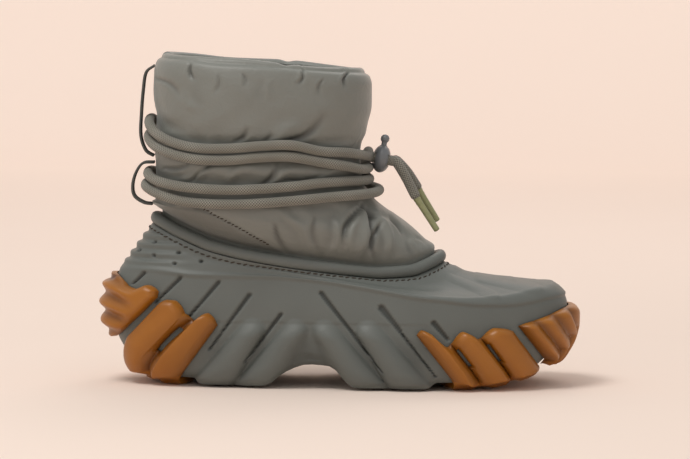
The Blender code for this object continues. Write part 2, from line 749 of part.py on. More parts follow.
def make_heel_pod():
    """Shield of rubber round the back of the heel, with lobes over the first fingers of the tread."""
    count = len(HEEL_POD.rows)
    order = np.concatenate((np.arange(count - 1, 0, -1), np.arange(count)))
    side = np.concatenate((np.full(count - 1, -1.0), np.full(count, 1.0)))
    share = share_at(HEEL_POD.rows[:, 0] * LENGTH)[order]
    x = side_point(share, np.full_like(share, MIDDLE_RISE), side)[:, 0]
    top = HEEL_POD.column("top")[order] * SHOULDER_HEIGHT
    high = (top - tread_height(x)) / (shoulder_height(x) - tread_height(x))
    steps = np.array(POD_ROWS)[:, None]
    rise = high * (1 - steps) + heel_pod_floor(share) * steps
    edge = np.array((0.4, 1.0, 0.85, 1.0, 0.4))[:, None]
    full = edge * HEEL_POD.column("pod")[order]
    shares, sides = (np.broadcast_to(row, rise.shape) for row in (share, side))
    outer, inner = pod_faces(shares, rise, sides, full)
    thicken([(outer, inner, ())]).build("heel_pod", RUBBER)


def make_toe_pod():
    """Band of rubber round the toe with slanting ridges."""
    share, rise = finger_grid(TOE_FINGERS, "toe")
    middle_share = np.ones((len(FINGER_ROWS), 1))
    middle_rise = rise[:, -1:]
    both = np.concatenate((share, middle_share, share[:, ::-1]), axis=1)
    rises = np.concatenate((rise, middle_rise, rise[:, ::-1]), axis=1)
    count = share.shape[1]
    sides = np.broadcast_to(np.concatenate((np.full(count, -1.0), np.full(count + 1, 1.0))), both.shape)
    pod = TOE_FINGERS.column("pod")
    full = np.concatenate((pod, (0.9,), pod[::-1]))
    edge = np.array((0.4, 1.0, 1.0, 1.0, 1.0, 1.0, 0.5))[:, None]
    outer, inner = pod_faces(both, rises, sides, edge * full)
    thicken([(outer, inner, ())]).build("toe_pod", RUBBER)


def make_piping():
    """Round edging that sits on the foam's rim."""
    middle, side = around(shell_columns())
    rings = []
    for corner in range(6):
        turn = corner * math.tau / 6
        spread = math.cos(turn) * PIPING_WIDTH / 2
        lift = GAP + (math.sin(math.tau / 6) + math.sin(turn)) * PIPING_HEIGHT / 2
        rings.append(rim_point(rim_share(middle), side, spread, lift))
    solid = Solid()
    grid = solid.add(np.array(rings).transpose(1, 0, 2))
    solid.tube(np.concatenate((grid, grid[:1])))
    solid.build("collar_piping", FOAM, 60)


def shaft_ring(row, share, side, wall=0.0):
    """One ring of the shaft; wall moves it inwards."""
    _, follow, spread_side, spread_ends, lift, rear, front, half, height, heel = row
    on_rim = rim_point(share, side, spread_ends * RIM_WIDTH - wall, lift * RIM_WIDTH)
    widened = rim_point(share, side, spread_side * RIM_WIDTH - wall, lift * RIM_WIDTH)
    on_rim[:, 1] = widened[:, 1]
    x = (rear + share * (front - rear)) * LENGTH + wall * (1 - 2 * share)
    y = side * (half * COLLAR_WIDTH - wall) * closing(share, OVAL)
    raised = heel * COLLAR_HEIGHT * np.clip(1 - share / 0.35, 0, 1) ** 2
    z = height * COLLAR_HEIGHT + raised + COLLAR_SLOPE * (1 - 2 * share) * smooth_step(height, 0.8, 1.0)
    free = np.stack((x, y, z), -1)
    return on_rim * follow + free * (1 - follow)


def shaft_columns():
    turn = np.cos(np.linspace(0, math.pi, SHAFT_COLUMNS + 1))
    return 0.5 - 0.5 * np.sign(turn) * np.abs(turn) ** (2 / OVAL)


def make_shaft():
    """Padded sleeve with a hem inside the foam, a cinched ankle and a rolled collar."""
    share, side = around(shaft_columns())
    rows = [shaft_ring(row, share, side) for row in SHAFT.rows]
    rows += [shaft_ring(SHAFT.rows[number], share, side, SHAFT_WALL) for number in LINING_RINGS]
    rows.append(rows[0])
    solid = Solid()
    solid.tube(solid.add(np.array(rows)))
    solid.build("shaft", NYLON)


def shaft_face(share, side, height):
    """Point of the shaft's outer face at a height, and its horizontal outward direction."""
    values = np.array((share - 0.004, share, share + 0.004)).clip(0, 1)
    sides = np.full(3, float(side))
    rows = np.array([shaft_ring(row, values, sides) for row in SHAFT.rows[3:14]])
    line = [[np.interp(height, rows[:, i, 2], rows[:, i, axis]) for axis in (0, 1)] for i in range(3)]
    run = np.array(line[2]) - np.array(line[0])
    out = np.array((run[1], -run[0])) * -side
    return np.array((*line[1], height)), np.array((*out, 0)) / np.linalg.norm(out)


def webbing_loop(name, table):
    """Flat band bent along a path in the shoe's middle plane."""
    path = np.stack((table.column("x") * LENGTH, table.column("height") * COLLAR_HEIGHT), -1)
    for end in (0, -1):
        path[end, 0] = shaft_face(0, -1, path[end, 1])[0][0] - 3 * GAP
    run = np.gradient(path, axis=0)
    out = np.stack((run[:, 1], -run[:, 0]), -1)
    out /= np.linalg.norm(out, axis=1, keepdims=True)
    rings = []
    for across_band, thick in ((-1, -1), (-1, 1), (1, 1), (1, -1)):
        edge = path + out * thick * WEBBING / 2
        y = np.full(len(edge), across_band * WEBBING_WIDTH / 2)
        rings.append(np.stack((edge[:, 0], y, edge[:, 1]), -1))
    solid = Solid()
    grid = solid.add(np.array(rings).transpose(1, 0, 2))
    solid.tube(grid)
    solid.face(grid[0])
    solid.face(grid[-1])
    solid.build(name, WEB)


# The drawcord's route on the shaft: side, share of the way from heel to front, height in parts of
# COLLAR_HEIGHT with COLLAR_PARTS to the whole, and how far it stands off the shaft where it passes over
# itself, in millimetres.
COLLAR_PARTS = 204
OUTER, INNER_SIDE = -1, 1
DRAWCORD_ROUTE = (
    (OUTER, 0.985, 146.8, 0), (OUTER, 0.950, 148.2, 0), (OUTER, 0.900, 149.5, 0), (OUTER, 0.790, 150.6, 0),
    (OUTER, 0.660, 154.5, 0), (OUTER, 0.520, 154.0, 0),
    (OUTER, 0.380, 152.3, 0), (OUTER, 0.240, 152.0, 0), (OUTER, 0.130, 154.5, 0), (OUTER, 0.050, 159.8, 1.2),
    (OUTER, 0.012, 166.0, 1.2), (INNER_SIDE, 0.012, 168.5, 1.2),
    (INNER_SIDE, 0.050, 163.0, 1.2), (INNER_SIDE, 0.130, 156.0, 0), (INNER_SIDE, 0.240, 153.0, 0),
    (INNER_SIDE, 0.380, 153.0, 0), (INNER_SIDE, 0.520, 154.5, 0), (INNER_SIDE, 0.660, 154.0, 0),
    (INNER_SIDE, 0.790, 151.0, 0), (INNER_SIDE, 0.900, 145.5, 0), (INNER_SIDE, 0.970, 140.2, 0),
    (OUTER, 1.000, 138.4, 0), (OUTER, 0.970, 138.4, 0),
    (OUTER, 0.900, 141.0, 0), (OUTER, 0.790, 143.9, 0), (OUTER, 0.660, 147.2, 0), (OUTER, 0.520, 146.9, 0),
    (OUTER, 0.380, 145.0, 0), (OUTER, 0.240, 144.8, 0), (OUTER, 0.130, 147.3, 0), (OUTER, 0.050, 151.8, 1.2),
    (OUTER, 0.012, 157.0, 1.2), (INNER_SIDE, 0.012, 159.0, 1.2),
    (INNER_SIDE, 0.050, 154.5, 1.2), (INNER_SIDE, 0.130, 148.5, 0), (INNER_SIDE, 0.240, 145.7, 0),
    (INNER_SIDE, 0.380, 145.5, 0), (INNER_SIDE, 0.520, 147.0, 0), (INNER_SIDE, 0.660, 146.5, 0),
    (INNER_SIDE, 0.790, 143.5, 0), (INNER_SIDE, 0.900, 137.6, 0), (INNER_SIDE, 0.970, 132.4, 0),
    (OUTER, 1.000, 131.1, 0), (OUTER, 0.970, 131.0, 0),
    (OUTER, 0.900, 131.2, 0), (OUTER, 0.790, 130.6, 0), (OUTER, 0.660, 128.6, 0), (OUTER, 0.520, 127.1, 0),
    (OUTER, 0.380, 126.1, 0), (OUTER, 0.240, 126.5, 0), (OUTER, 0.130, 127.8, 0), (OUTER, 0.050, 130.3, 1.2),
    (OUTER, 0.012, 133.5, 1.2), (INNER_SIDE, 0.012, 134.5, 1.2),
    (INNER_SIDE, 0.050, 132.5, 1.2), (INNER_SIDE, 0.130, 129.0, 0), (INNER_SIDE, 0.240, 127.3, 0),
    (INNER_SIDE, 0.380, 127.0, 0), (INNER_SIDE, 0.520, 127.5, 0), (INNER_SIDE, 0.660, 128.3, 0),
    (INNER_SIDE, 0.790, 128.7, 0), (INNER_SIDE, 0.900, 127.6, 0.5), (INNER_SIDE, 0.970, 125.2, 1.8),
    (OUTER, 1.000, 124.2, 2.6), (OUTER, 0.970, 123.3, 2.8),
    (OUTER, 0.900, 122.6, 1.8), (OUTER, 0.790, 121.6, 0), (OUTER, 0.660, 120.0, 0), (OUTER, 0.520, 118.4, 0),
    (OUTER, 0.380, 117.2, 0), (OUTER, 0.240, 117.2, 0), (OUTER, 0.130, 118.7, 0), (OUTER, 0.050, 122.6, 1.7),
    (OUTER, 0.012, 126.0, 2.7), (INNER_SIDE, 0.012, 126.8, 2.7),
    (INNER_SIDE, 0.050, 124.5, 1.7), (INNER_SIDE, 0.130, 120.3, 0), (INNER_SIDE, 0.240, 118.5, 0),
    (INNER_SIDE, 0.380, 118.2, 0), (INNER_SIDE, 0.520, 118.6, 0), (INNER_SIDE, 0.660, 119.6, 0.3),
    (INNER_SIDE, 0.760, 122.8, 5.5), (INNER_SIDE, 0.840, 129.5, 7.6), (INNER_SIDE, 0.900, 136.5, 8.0),
    (INNER_SIDE, 0.945, 143.3, 7.6), (INNER_SIDE, 0.975, 147.8, 4.5),
)
# The lock's centre: its height in the same parts and how far it stands in front of the shaft.
LOCK_LEVEL = 144
LOCK_STAND = 0.013784
STRAND_GAP = 0.0071
CORD_SPACING = 3.5 * CORD
CROSSING_LENGTH = 0.11
CROSSING_SPACING = 1.6 * CORD
CORD_STEPS = 12
# Where a strand leaves the lock in front and behind.
LOCK_RUN = (LOCK_DEPTH / 2 - 0.001, -LOCK_DEPTH / 2 - 0.001)


def lock_centre():
    height = LOCK_LEVEL * COLLAR_HEIGHT / COLLAR_PARTS
    return Vector((shaft_face(1, OUTER, height)[0][0] + LOCK_STAND, 0, height))


LOCK_CENTRE = lock_centre()


def smooth_curve(points, steps):
    """Fine points of a smooth curve through the given ones."""
    points = np.array(points)
    ends = np.concatenate((2 * points[:1] - points[1:2], points, 2 * points[-1:] - points[-2:-1]))
    f = np.linspace(0, 1, steps, endpoint=False)[:, None]
    fine = []
    for a, b, c, d in zip(ends, ends[1:], ends[2:], ends[3:]):
        bend = (2 * a - 5 * b + 4 * c - d) * f**2 + (3 * b - a - 3 * c + d) * f**3
        fine.append(0.5 * (2 * b + (c - a) * f + bend))
    return np.concatenate(fine + [points[-1:]])


def spaced(curve, spacing, close_length=0.0, close_spacing=None):
    """Points of a curve at even spacing, and closer over its last stretch."""
    length = np.concatenate(((0,), np.cumsum(np.linalg.norm(np.diff(curve, axis=0), axis=1))))
    turn = length[-1] - close_length
    places = np.linspace(0, turn, int(round(turn / spacing)) + 1)
    if close_length:
        closer = np.linspace(turn, length[-1], int(round(close_length / close_spacing)) + 1)
        places = np.concatenate((places, closer[1:]))
    return np.stack([np.interp(places, length, curve[:, axis]) for axis in range(3)], -1)


def make_cord(name, points, diameter, material, rings=2):
    """Round cord along a list of points, with closed ends."""
    curve = bpy.data.curves.new(name, "CURVE")
    curve.dimensions = "3D"
    curve.bevel_depth = diameter / 2
    curve.bevel_resolution = rings
    curve.use_fill_caps = True
    line = curve.splines.new("POLY")
    line.points.add(len(points) - 1)
    for knot, point in zip(line.points, points):
        knot.co = (*point, 1)
    curve.materials.append(material)
    cord = bpy.data.objects.new(name, curve)
    bpy.context.collection.objects.link(cord)
    cord.parent = frame
    return cord


def in_lock(forward, sideways, up):
    """Place given in the lock's own leaning directions."""
    lean = Matrix.Rotation(LOCK_LEAN, 3, "Y")
    return LOCK_CENTRE + lean @ Vector((forward, sideways, up))


def make_drawcord():
    """One cord, four times round the ankle and through both webbing loops, with both ends in the lock."""
    strands = [[in_lock(forward, side * STRAND_GAP / 2, 0) for forward in LOCK_RUN] for side in (-1, 1)]
    start, end = ([tuple(place) for place in strand] for strand in strands)
    route = []
    for side, share, height, stand_off in DRAWCORD_ROUTE:
        point, out = shaft_face(share, side, height * COLLAR_HEIGHT / COLLAR_PARTS)
        route.append(tuple(point + out * (CORD / 2 + CORD_CLEARANCE + stand_off / 1000)))
    curve = smooth_curve(start + route + end[::-1], CORD_STEPS)[CORD_STEPS:-CORD_STEPS]
    points = spaced(curve, CORD_SPACING, CROSSING_LENGTH, CROSSING_SPACING)
    make_cord("drawcord", [start[0], *points, end[0]], CORD, BRAID)


# The cord's free ends, from the lock's front to their sleeves, in millimetres from the lock's centre.
CORD_ENDS = {
    "a": ((9.9, -3.9, -2.2), (15.7, -4.6, -11.4), (20.5, -5.4, -20.6), (23.1, -5.9, -25.4)),
    "b": ((10.1, 3.9, -1.4), (16.7, 4.5, -8.4), (22.1, 5.0, -16.4), (24.5, 5.2, -20.4)),
}
TIP_ENDS = {"a": (36.0, -7.4, -45.1), "b": (36.5, 6.0, -39.8)}


def make_cord_ends():
    for side, name in ((-1, "a"), (1, "b")):
        starts = (LOCK_DEPTH / 2 - 0.0005, LOCK_DEPTH / 2 + 0.002)
        free = [tuple(in_lock(forward, side * STRAND_GAP / 2, 0)) for forward in starts]
        free += [tuple(LOCK_CENTRE + Vector(point) / 1000) for point in CORD_ENDS[name]]
        curve = smooth_curve(free, CORD_STEPS)[CORD_STEPS:]
        points = np.concatenate((free[:1], spaced(curve, CORD)))
        make_cord(f"cord_end_{name}", points, CORD, BRAID)
        end = np.array(LOCK_CENTRE + Vector(TIP_ENDS[name]) / 1000)
        run = (end - points[-1]) / np.linalg.norm(end - points[-1])
        make_cord(f"tip_{name}", [points[-1] + run * GAP, end], TIP, SLEEVE)


def lathe(name, profile, segments=12):
    """Mesh of a profile of (radius, height) turned about its own Z axis."""
    turn = np.arange(segments) * math.tau / segments
    circle = np.stack((np.cos(turn), np.sin(turn), np.zeros(segments)), -1)
    rows = [circle * radius + (0, 0, height) for radius, height in profile]
    solid = Solid()
    solid.tube(solid.add(np.array(rows)))
    mesh = bpy.data.meshes.new(name)
    mesh.from_pydata([tuple(p) for p in solid.points], [], solid.faces)
    work = bmesh.new()
    work.from_mesh(mesh)
    bmesh.ops.triangulate(work, faces=work.faces)
    bmesh.ops.recalc_face_normals(work, faces=work.faces)
    work.to_mesh(mesh)
    work.free()
    mesh.shade_smooth()
    mesh.set_sharp_from_angle(angle=math.radians(40))
    return mesh


def stand_in_lock(piece):
    piece.parent = frame
    piece.location = LOCK_CENTRE
    piece.rotation_euler = (0, LOCK_LEAN, 0)


def make_lock():
    """Sprung cord lock: an egg-shaped barrel with a window for both strands and a plunger in its top."""
    angles = np.linspace(-math.pi / 2, math.pi / 2, 9)
    shape = [(math.cos(a), math.sin(a)) for a in angles]
    mesh = lathe("lock_barrel", shape, 16)
    mesh.transform(Matrix.Diagonal((LOCK_DEPTH / 2, LOCK_WIDTH / 2, LOCK_HEIGHT / 2, 1)))
    barrel = bpy.data.objects.new("lock_barrel", mesh)
    mesh.materials.append(PLASTIC)
    bpy.context.collection.objects.link(barrel)
    stand_in_lock(barrel)
    window_high = CORD + 2 * LOCK_CLEARANCE
    window_wide = STRAND_GAP + CORD + 2 * LOCK_CLEARANCE
    bpy.ops.mesh.primitive_cube_add(size=1)
    window = bpy.context.object
    window.name = "lock_window_cutter"
    window.data.transform(Matrix.Diagonal((LOCK_DEPTH * 2, window_wide, window_high, 1)))
    bore_radius = PLUNGER_STEM / 2 + LOCK_CLEARANCE
    bore_floor = window_high / 2 + 0.001
    hole = ((0, bore_floor), (bore_radius, bore_floor), (bore_radius, LOCK_HEIGHT), (0, LOCK_HEIGHT))
    bore_mesh = lathe("bore", hole)
    bore = bpy.data.objects.new("lock_bore_cutter", bore_mesh)
    bpy.context.collection.objects.link(bore)
    for cutter in (window, bore):
        stand_in_lock(cutter)
        cutter.hide_render = True
        cutter.display_type = "WIRE"
        cut = barrel.modifiers.new(cutter.name, "BOOLEAN")
        cut.object = cutter
        cut.operation = "DIFFERENCE"
    head = PLUNGER_HEAD / 2
    centre = LOCK_HEIGHT / 2 + 0.0041
    foot = bore_floor + PLUNGER_TRAVEL + LOCK_CLEARANCE
    neck = PLUNGER_STEM * 0.36
    turns = np.linspace(-math.acos(neck / head), math.pi / 2, 5)
    ball = [(head * math.cos(a), centre + head * math.sin(a)) for a in turns]
    profile = [(0, foot), (PLUNGER_STEM / 2, foot), (PLUNGER_STEM / 2, LOCK_HEIGHT / 2 - 0.0006)]
    profile += [(neck, LOCK_HEIGHT / 2)] + ball[:-1] + [(0, centre + head)]
    plunger = bpy.data.objects.new("lock_plunger", lathe("lock_plunger", profile))
    plunger.data.materials.append(PLASTIC)
    bpy.context.collection.objects.link(plunger)
    stand_in_lock(plunger)


make_shell()
make_insole()
make_heel_pod()
make_tread("heel_outsole", HEEL_FINGERS, "heel", (5,))
make_tread("forefoot_outsole", FOREFOOT_FINGERS, "", (5, 11))
make_toe_pod()
make_piping()
make_shaft()
webbing_loop("loop_upper", UPPER_LOOP)
webbing_loop("loop_lower", LOWER_LOOP)
make_drawcord()
make_cord_ends()
make_lock()
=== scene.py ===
# %% [markdown]
# An insulated pull-on boot for the right foot. A moulded foam shoe carries rubber pods underneath, and a
# padded nylon sleeve comes out of it, tied with a braided cord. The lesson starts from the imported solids:
# they give the place and the size of every piece, and each piece that shows is then worked out again as a
# fine surface in the same place.
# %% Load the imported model
import math

import bmesh
import bpy
import numpy as np
from mathutils import Matrix, Vector


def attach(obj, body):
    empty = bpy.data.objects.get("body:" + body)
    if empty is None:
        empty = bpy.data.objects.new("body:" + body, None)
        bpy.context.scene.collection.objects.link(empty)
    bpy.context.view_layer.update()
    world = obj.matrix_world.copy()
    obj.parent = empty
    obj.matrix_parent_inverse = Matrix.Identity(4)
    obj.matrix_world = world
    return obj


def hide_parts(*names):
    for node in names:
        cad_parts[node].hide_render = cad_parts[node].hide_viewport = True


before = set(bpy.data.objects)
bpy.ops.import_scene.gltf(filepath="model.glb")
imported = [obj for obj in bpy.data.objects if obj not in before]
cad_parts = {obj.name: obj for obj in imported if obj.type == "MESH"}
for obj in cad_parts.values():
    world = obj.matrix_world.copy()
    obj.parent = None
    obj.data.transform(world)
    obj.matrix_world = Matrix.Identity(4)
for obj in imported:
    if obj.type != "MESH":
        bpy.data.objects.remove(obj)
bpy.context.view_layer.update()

print("solids:", sorted(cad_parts))

# %% [markdown]
# The photograph was taken from the outer side of the boot, a little above it, with a long lens. The
# camera is aimed from given numbers: a long focal length keeps both ends of the sole at the same scale, as a
# studio picture does.
# %% Camera
PICTURE_WIDTH = 0.446
CAMERA_DISTANCE = 2.2
CAMERA_RISE = math.radians(4.0)
CAMERA_ROLL = math.radians(0.47)
LOOK_AT = Vector((0.106, 0.0, 0.098))
SENSOR = 36.0

camera_data = bpy.data.cameras.new("studio_camera")
camera_data.sensor_width = SENSOR
camera_data.lens = SENSOR * CAMERA_DISTANCE / PICTURE_WIDTH
camera = bpy.data.objects.new("studio_camera", camera_data)
bpy.context.collection.objects.link(camera)
back = Vector((0.0, -math.cos(CAMERA_RISE), math.sin(CAMERA_RISE)))
camera.location = LOOK_AT + back * CAMERA_DISTANCE
facing = back.to_track_quat("Z", "Y").to_matrix()
camera.rotation_euler = (facing @ Matrix.Rotation(CAMERA_ROLL, 3, "Z")).to_euler()
bpy.context.scene.camera = camera
print("lens", round(camera_data.lens, 1), "mm")

# %% [markdown]
# A studio floor and its backdrop are one sweep of pale paper. A sweep is a profile, a quarter circle
# between two straight runs, carried sideways. It glows a little towards the back, so that the backdrop
# keeps one tone. Nothing of it belongs to the boot.
# %% Floor and light
PAPER_HALF = 3.0
PAPER_BACK = 2.6
PAPER_TURN = 1.0
PAPER_LEVEL = -0.0006


def node(tree, kind, **values):
    """Adds a shader node; a value that is a socket is linked, any other is set."""
    made = tree.nodes.new("ShaderNode" + kind)
    for name, value in values.items():
        if name.startswith("set_"):
            setattr(made, name[4:], value)
            continue
        slot = made.inputs[int(name[1:])] if name[0] == "i" and name[1:].isdigit() else made.inputs[name]
        if isinstance(value, bpy.types.NodeSocket):
            tree.links.new(value, slot)
        else:
            slot.default_value = value
    return made


def mix(tree, share, first, second):
    """Colour between two others, by a share from 0 to 1."""
    first, second = (c if isinstance(c, bpy.types.NodeSocket) else (*c, 1) for c in (first, second))
    return node(tree, "Mix", set_data_type="RGBA", i0=share, i6=first, i7=second).outputs[2]


def maths(tree, operation, *values):
    values = {f"i{number}": value for number, value in enumerate(values)}
    return node(tree, "Math", set_operation=operation, **values).outputs[0]


def noise(tree, place, scale, detail, **more):
    return node(tree, "TexNoise", Vector=place, Scale=scale, Detail=detail, **more).outputs["Fac"]


def remap(tree, value, low, high, start, end):
    """Value moved from the range low to high onto the range start to end."""
    return node(tree, "MapRange", Value=value, i1=low, i2=high, i3=start, i4=end).outputs["Result"]


def feed(surface, name, socket):
    surface.id_data.links.new(socket, surface.inputs[name])


def emboss(surface, height, strength, distance, **more):
    bump = node(surface.id_data, "Bump", Height=height, Strength=strength, Distance=distance, **more)
    feed(surface, "Normal", bump.outputs["Normal"])


def plain_finish(name, roughness, **settings):
    """A new material: itself, its tree, its surface shader and the object's own coordinates."""
    material = bpy.data.materials.new(name)
    material.use_nodes = True
    tree = material.node_tree
    surface = next(n for n in tree.nodes if n.type == "BSDF_PRINCIPLED")
    surface.inputs["Roughness"].default_value = roughness
    for setting, value in settings.items():
        surface.inputs[setting.replace("_", " ")].default_value = value
    return material, tree, surface, node(tree, "TexCoord").outputs["Object"]


def speckled_finish(name, roughness, scale, detail, dark, light, strength, distance,
                    settings={}, spread=0, **more):
    """Two tones, a bump and perhaps a spread of roughness, all from one fine noise."""
    material, tree, surface, place = plain_finish(name, roughness, **settings)
    speckle = noise(tree, place, scale, detail, **more)
    feed(surface, "Base Color", mix(tree, speckle, dark, light))
    emboss(surface, speckle, strength, distance)
    if spread:
        feed(surface, "Roughness", remap(tree, speckle, 0, 1, roughness - spread, roughness + spread))
    return material


def paper_sweep():
    """Profile: forward on the floor, round a quarter circle, then up; carried from side to side."""
    turn = np.linspace(0, math.pi / 2, 24)
    y = np.concatenate(([-4.0], PAPER_BACK + PAPER_TURN * np.sin(turn), [PAPER_BACK + PAPER_TURN]))
    z = np.concatenate(([0.0], PAPER_TURN * (1 - np.cos(turn)), [4.0])) + PAPER_LEVEL
    x = np.array((-PAPER_HALF, PAPER_HALF))
    points = np.stack(np.broadcast_arrays(x[:, None], y[None], z[None]), -1).reshape(-1, 3)
    count = len(y)
    row = np.arange(count - 1)
    faces = np.stack((row, row + count, row + count + 1, row + 1), -1)
    mesh = bpy.data.meshes.new("paper_sweep")
    mesh.from_pydata(points.tolist(), [], faces.tolist())
    mesh.shade_smooth()
    sweep = bpy.data.objects.new("paper_sweep", mesh)
    bpy.context.collection.objects.link(sweep)
    return sweep


GLOW_FROM, GLOW_TO, GLOW = 0.3, 3.4, 0.37

paper, tree, surface, place = plain_finish("pale_paper", 0.9)
tone = mix(tree, noise(tree, place, 6.0, 3.0), (0.905, 0.755, 0.662), (0.916, 0.766, 0.673))
depth = node(tree, "SeparateXYZ", Vector=place).outputs["Y"]
feed(surface, "Base Color", tone)
feed(surface, "Emission Color", tone)
feed(surface, "Emission Strength", remap(tree, depth, GLOW_FROM, GLOW_TO, 0.0, GLOW))
sweep = paper_sweep()
sweep.data.materials.append(paper)

world = bpy.data.worlds.new("studio")
bpy.context.scene.world = world
world.use_nodes = True
air = world.node_tree.nodes["Background"]
air.inputs["Color"].default_value = (1.0, 0.99, 0.975, 1)
air.inputs["Strength"].default_value = 0.53


def soft_light(name, place, aim, size, power, colour):
    """A square panel of light at a place, turned towards a point."""
    panel = bpy.data.lights.new(name, "AREA")
    panel.size = size
    panel.energy = power
    panel.color = colour
    lamp = bpy.data.objects.new(name, panel)
    bpy.context.collection.objects.link(lamp)
    lamp.location = place
    lamp.rotation_euler = (Vector(place) - Vector(aim)).to_track_quat("Z", "Y").to_euler()


soft_light("key_panel", (-0.55, -0.6, 1.9), (0.1, 0.0, 0.08), 0.8, 18.0, (1.0, 0.985, 0.96))
soft_light("front_panel", (-0.5, -2.0, 0.8), (0.1, 0.0, 0.1), 1.0, 2.0, (1.0, 0.99, 0.98))
soft_light("rim_panel", (0.5, 1.3, 1.5), (0.1, 0.0, 0.12), 1.0, 4.0, (1.0, 0.99, 0.98))
bpy.context.scene.view_settings.view_transform = "Standard"

# %% [markdown]
# Every piece below is a grid of points. One helper welds the grids, gives the faces one outward side and
# stores the surface's own coordinates. Another turns a sheet into a closed skin with a wall, by joining
# its open edges.
# %% From grids to meshes
HEEL_REST = 0.048
WELD = 2e-6


def grid_faces(rows, columns, first=0, kept=None):
    """Numbers of the four corners of each cell of a grid, row by row."""
    corner = first + np.arange((rows - 1))[:, None] * columns + np.arange(columns - 1)[None]
    faces = np.stack((corner, corner + 1, corner + columns + 1, corner + columns), -1)
    return faces[kept] if kept is not None else faces.reshape(-1, 4)


def finish_piece(name, points, faces, uv, painted_shade, finish, nodes, angle):
    """Makes the object: equal points become one, and all faces turn outwards."""
    mesh = bpy.data.meshes.new(name)
    mesh.from_pydata((points - (HEEL_REST, 0, 0)).tolist(), [], faces.tolist())
    if uv is not None:
        corner = np.empty(len(mesh.loops), np.int32)
        mesh.loops.foreach_get("vertex_index", corner)
        mesh.uv_layers.new(name="surface").data.foreach_set("uv", uv[corner].ravel().astype(np.float32))
    # Painted shade of each point, which the shaders mix into the colour.
    mesh.attributes.new("painted_shade", "FLOAT", "POINT").data.foreach_set("value", painted_shade.astype(np.float32))
    work = bmesh.new()
    work.from_mesh(mesh)
    bmesh.ops.remove_doubles(work, verts=work.verts, dist=WELD)
    bmesh.ops.dissolve_degenerate(work, edges=work.edges, dist=WELD / 20)
    bmesh.ops.recalc_face_normals(work, faces=work.faces)
    open_edges = sum(1 for edge in work.edges if len(edge.link_faces) != 2)
    work.to_mesh(mesh)
    work.free()
    mesh.shade_smooth()
    mesh.set_sharp_from_angle(angle=math.radians(angle))
    mesh.materials.append(finish)
    piece = bpy.data.objects.new(name, mesh)
    bpy.context.collection.objects.link(piece)
    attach(piece, "boot")
    if nodes:
        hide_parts(*nodes)
    print(name, len(mesh.polygons), "faces,", open_edges, "open edges")
    return piece


def put(name, sheets, finish, nodes=(), angle=60):
    """One object of sheets, each given as its points and then perhaps its uv and painted-shade grids."""
    points, places, painted_shades, faces, first = [], [], [], [], 0
    for grid, uv, painted_shade in ((*sheet, None, None)[:3] for sheet in sheets):
        count = grid.shape[0] * grid.shape[1]
        points.append(grid.reshape(-1, 3))
        places.append(np.zeros((count, 2)) if uv is None else uv.reshape(-1, 2))
        painted_shades.append(np.zeros(count) if painted_shade is None else painted_shade.ravel())
        faces.append(grid_faces(*grid.shape[:2], first))
        first += count
    points, faces, places, painted_shades = (np.concatenate(part) for part in (points, faces, places, painted_shades))
    return finish_piece(name, points, faces, places, painted_shades, finish, nodes, angle)


def every_cell(grid):
    return np.ones((grid.shape[0] - 1, grid.shape[1] - 1), bool)


def wall_sheets(outer, inner, faces, painted_shade):
    """Welds the outer points, repeats the faces turned over inside and walls the edges used once."""
    _, chosen, renumber = np.unique(np.round(outer, 6), axis=0, return_index=True, return_inverse=True)
    renumber = renumber.reshape(-1)
    outer, inner, painted_shade, faces = outer[chosen], inner[chosen], painted_shade[chosen], renumber[faces]
    whole = (faces != np.roll(faces, 1, 1)).sum(1) > 2
    faces = faces[whole]
    count = len(outer)
    edges = np.stack((faces, np.roll(faces, -1, 1)), -1).reshape(-1, 2)
    edges = edges[edges[:, 0] != edges[:, 1]]
    _, where, uses = np.unique(np.sort(edges, 1), axis=0, return_index=True, return_counts=True)
    rim = edges[where[uses == 1]]
    wall = np.stack((rim[:, 1], rim[:, 0], rim[:, 0] + count, rim[:, 1] + count), -1)
    return (np.concatenate((outer, inner)), np.concatenate((faces, faces[:, ::-1] + count, wall)),
            np.concatenate((painted_shade, painted_shade)))


def put_skin(name, sheets, finish, nodes, angle=50):
    """Closed skin of sheets given as (outer grid, inner grid, painted-shade grid, kept cells)."""
    outer, inner = (np.concatenate([sheet[layer].reshape(-1, 3) for sheet in sheets]) for layer in (0, 1))
    painted_shade = np.concatenate([sheet[2].ravel() for sheet in sheets])
    faces, first = [], 0
    for sheet in sheets:
        rows, columns = sheet[0].shape[:2]
        faces.append(grid_faces(rows, columns, first, sheet[3]))
        first += rows * columns
    points, faces, painted_shade = wall_sheets(outer, inner, np.concatenate(faces), painted_shade)
    return finish_piece(name, points, faces, None, painted_shade, finish, nodes, angle)


def unit(vectors):
    return vectors / np.linalg.norm(vectors, axis=-1, keepdims=True)


def distances(path):
    """Distance of each point of a path from its start, along the path."""
    return np.concatenate(((0,), np.cumsum(np.linalg.norm(np.diff(path, axis=0), axis=1))))


def read_at(values, length, at):
    """Rows of a three-column list read at given distances."""
    return np.stack([np.interp(at, length, values[:, axis]) for axis in range(3)], -1)


def frames_along(path):
    """Unit directions along a path and two more across it that turn as little as they can."""
    run = unit(np.gradient(path, axis=0))
    side = np.cross(run, (0.0, 0.0, 1.0))
    weak = np.linalg.norm(side, axis=1) < 0.05
    side[weak] = np.cross(run[weak], (0.0, 1.0, 0.0))
    side = unit(side)
    return run, side, np.cross(side, run)


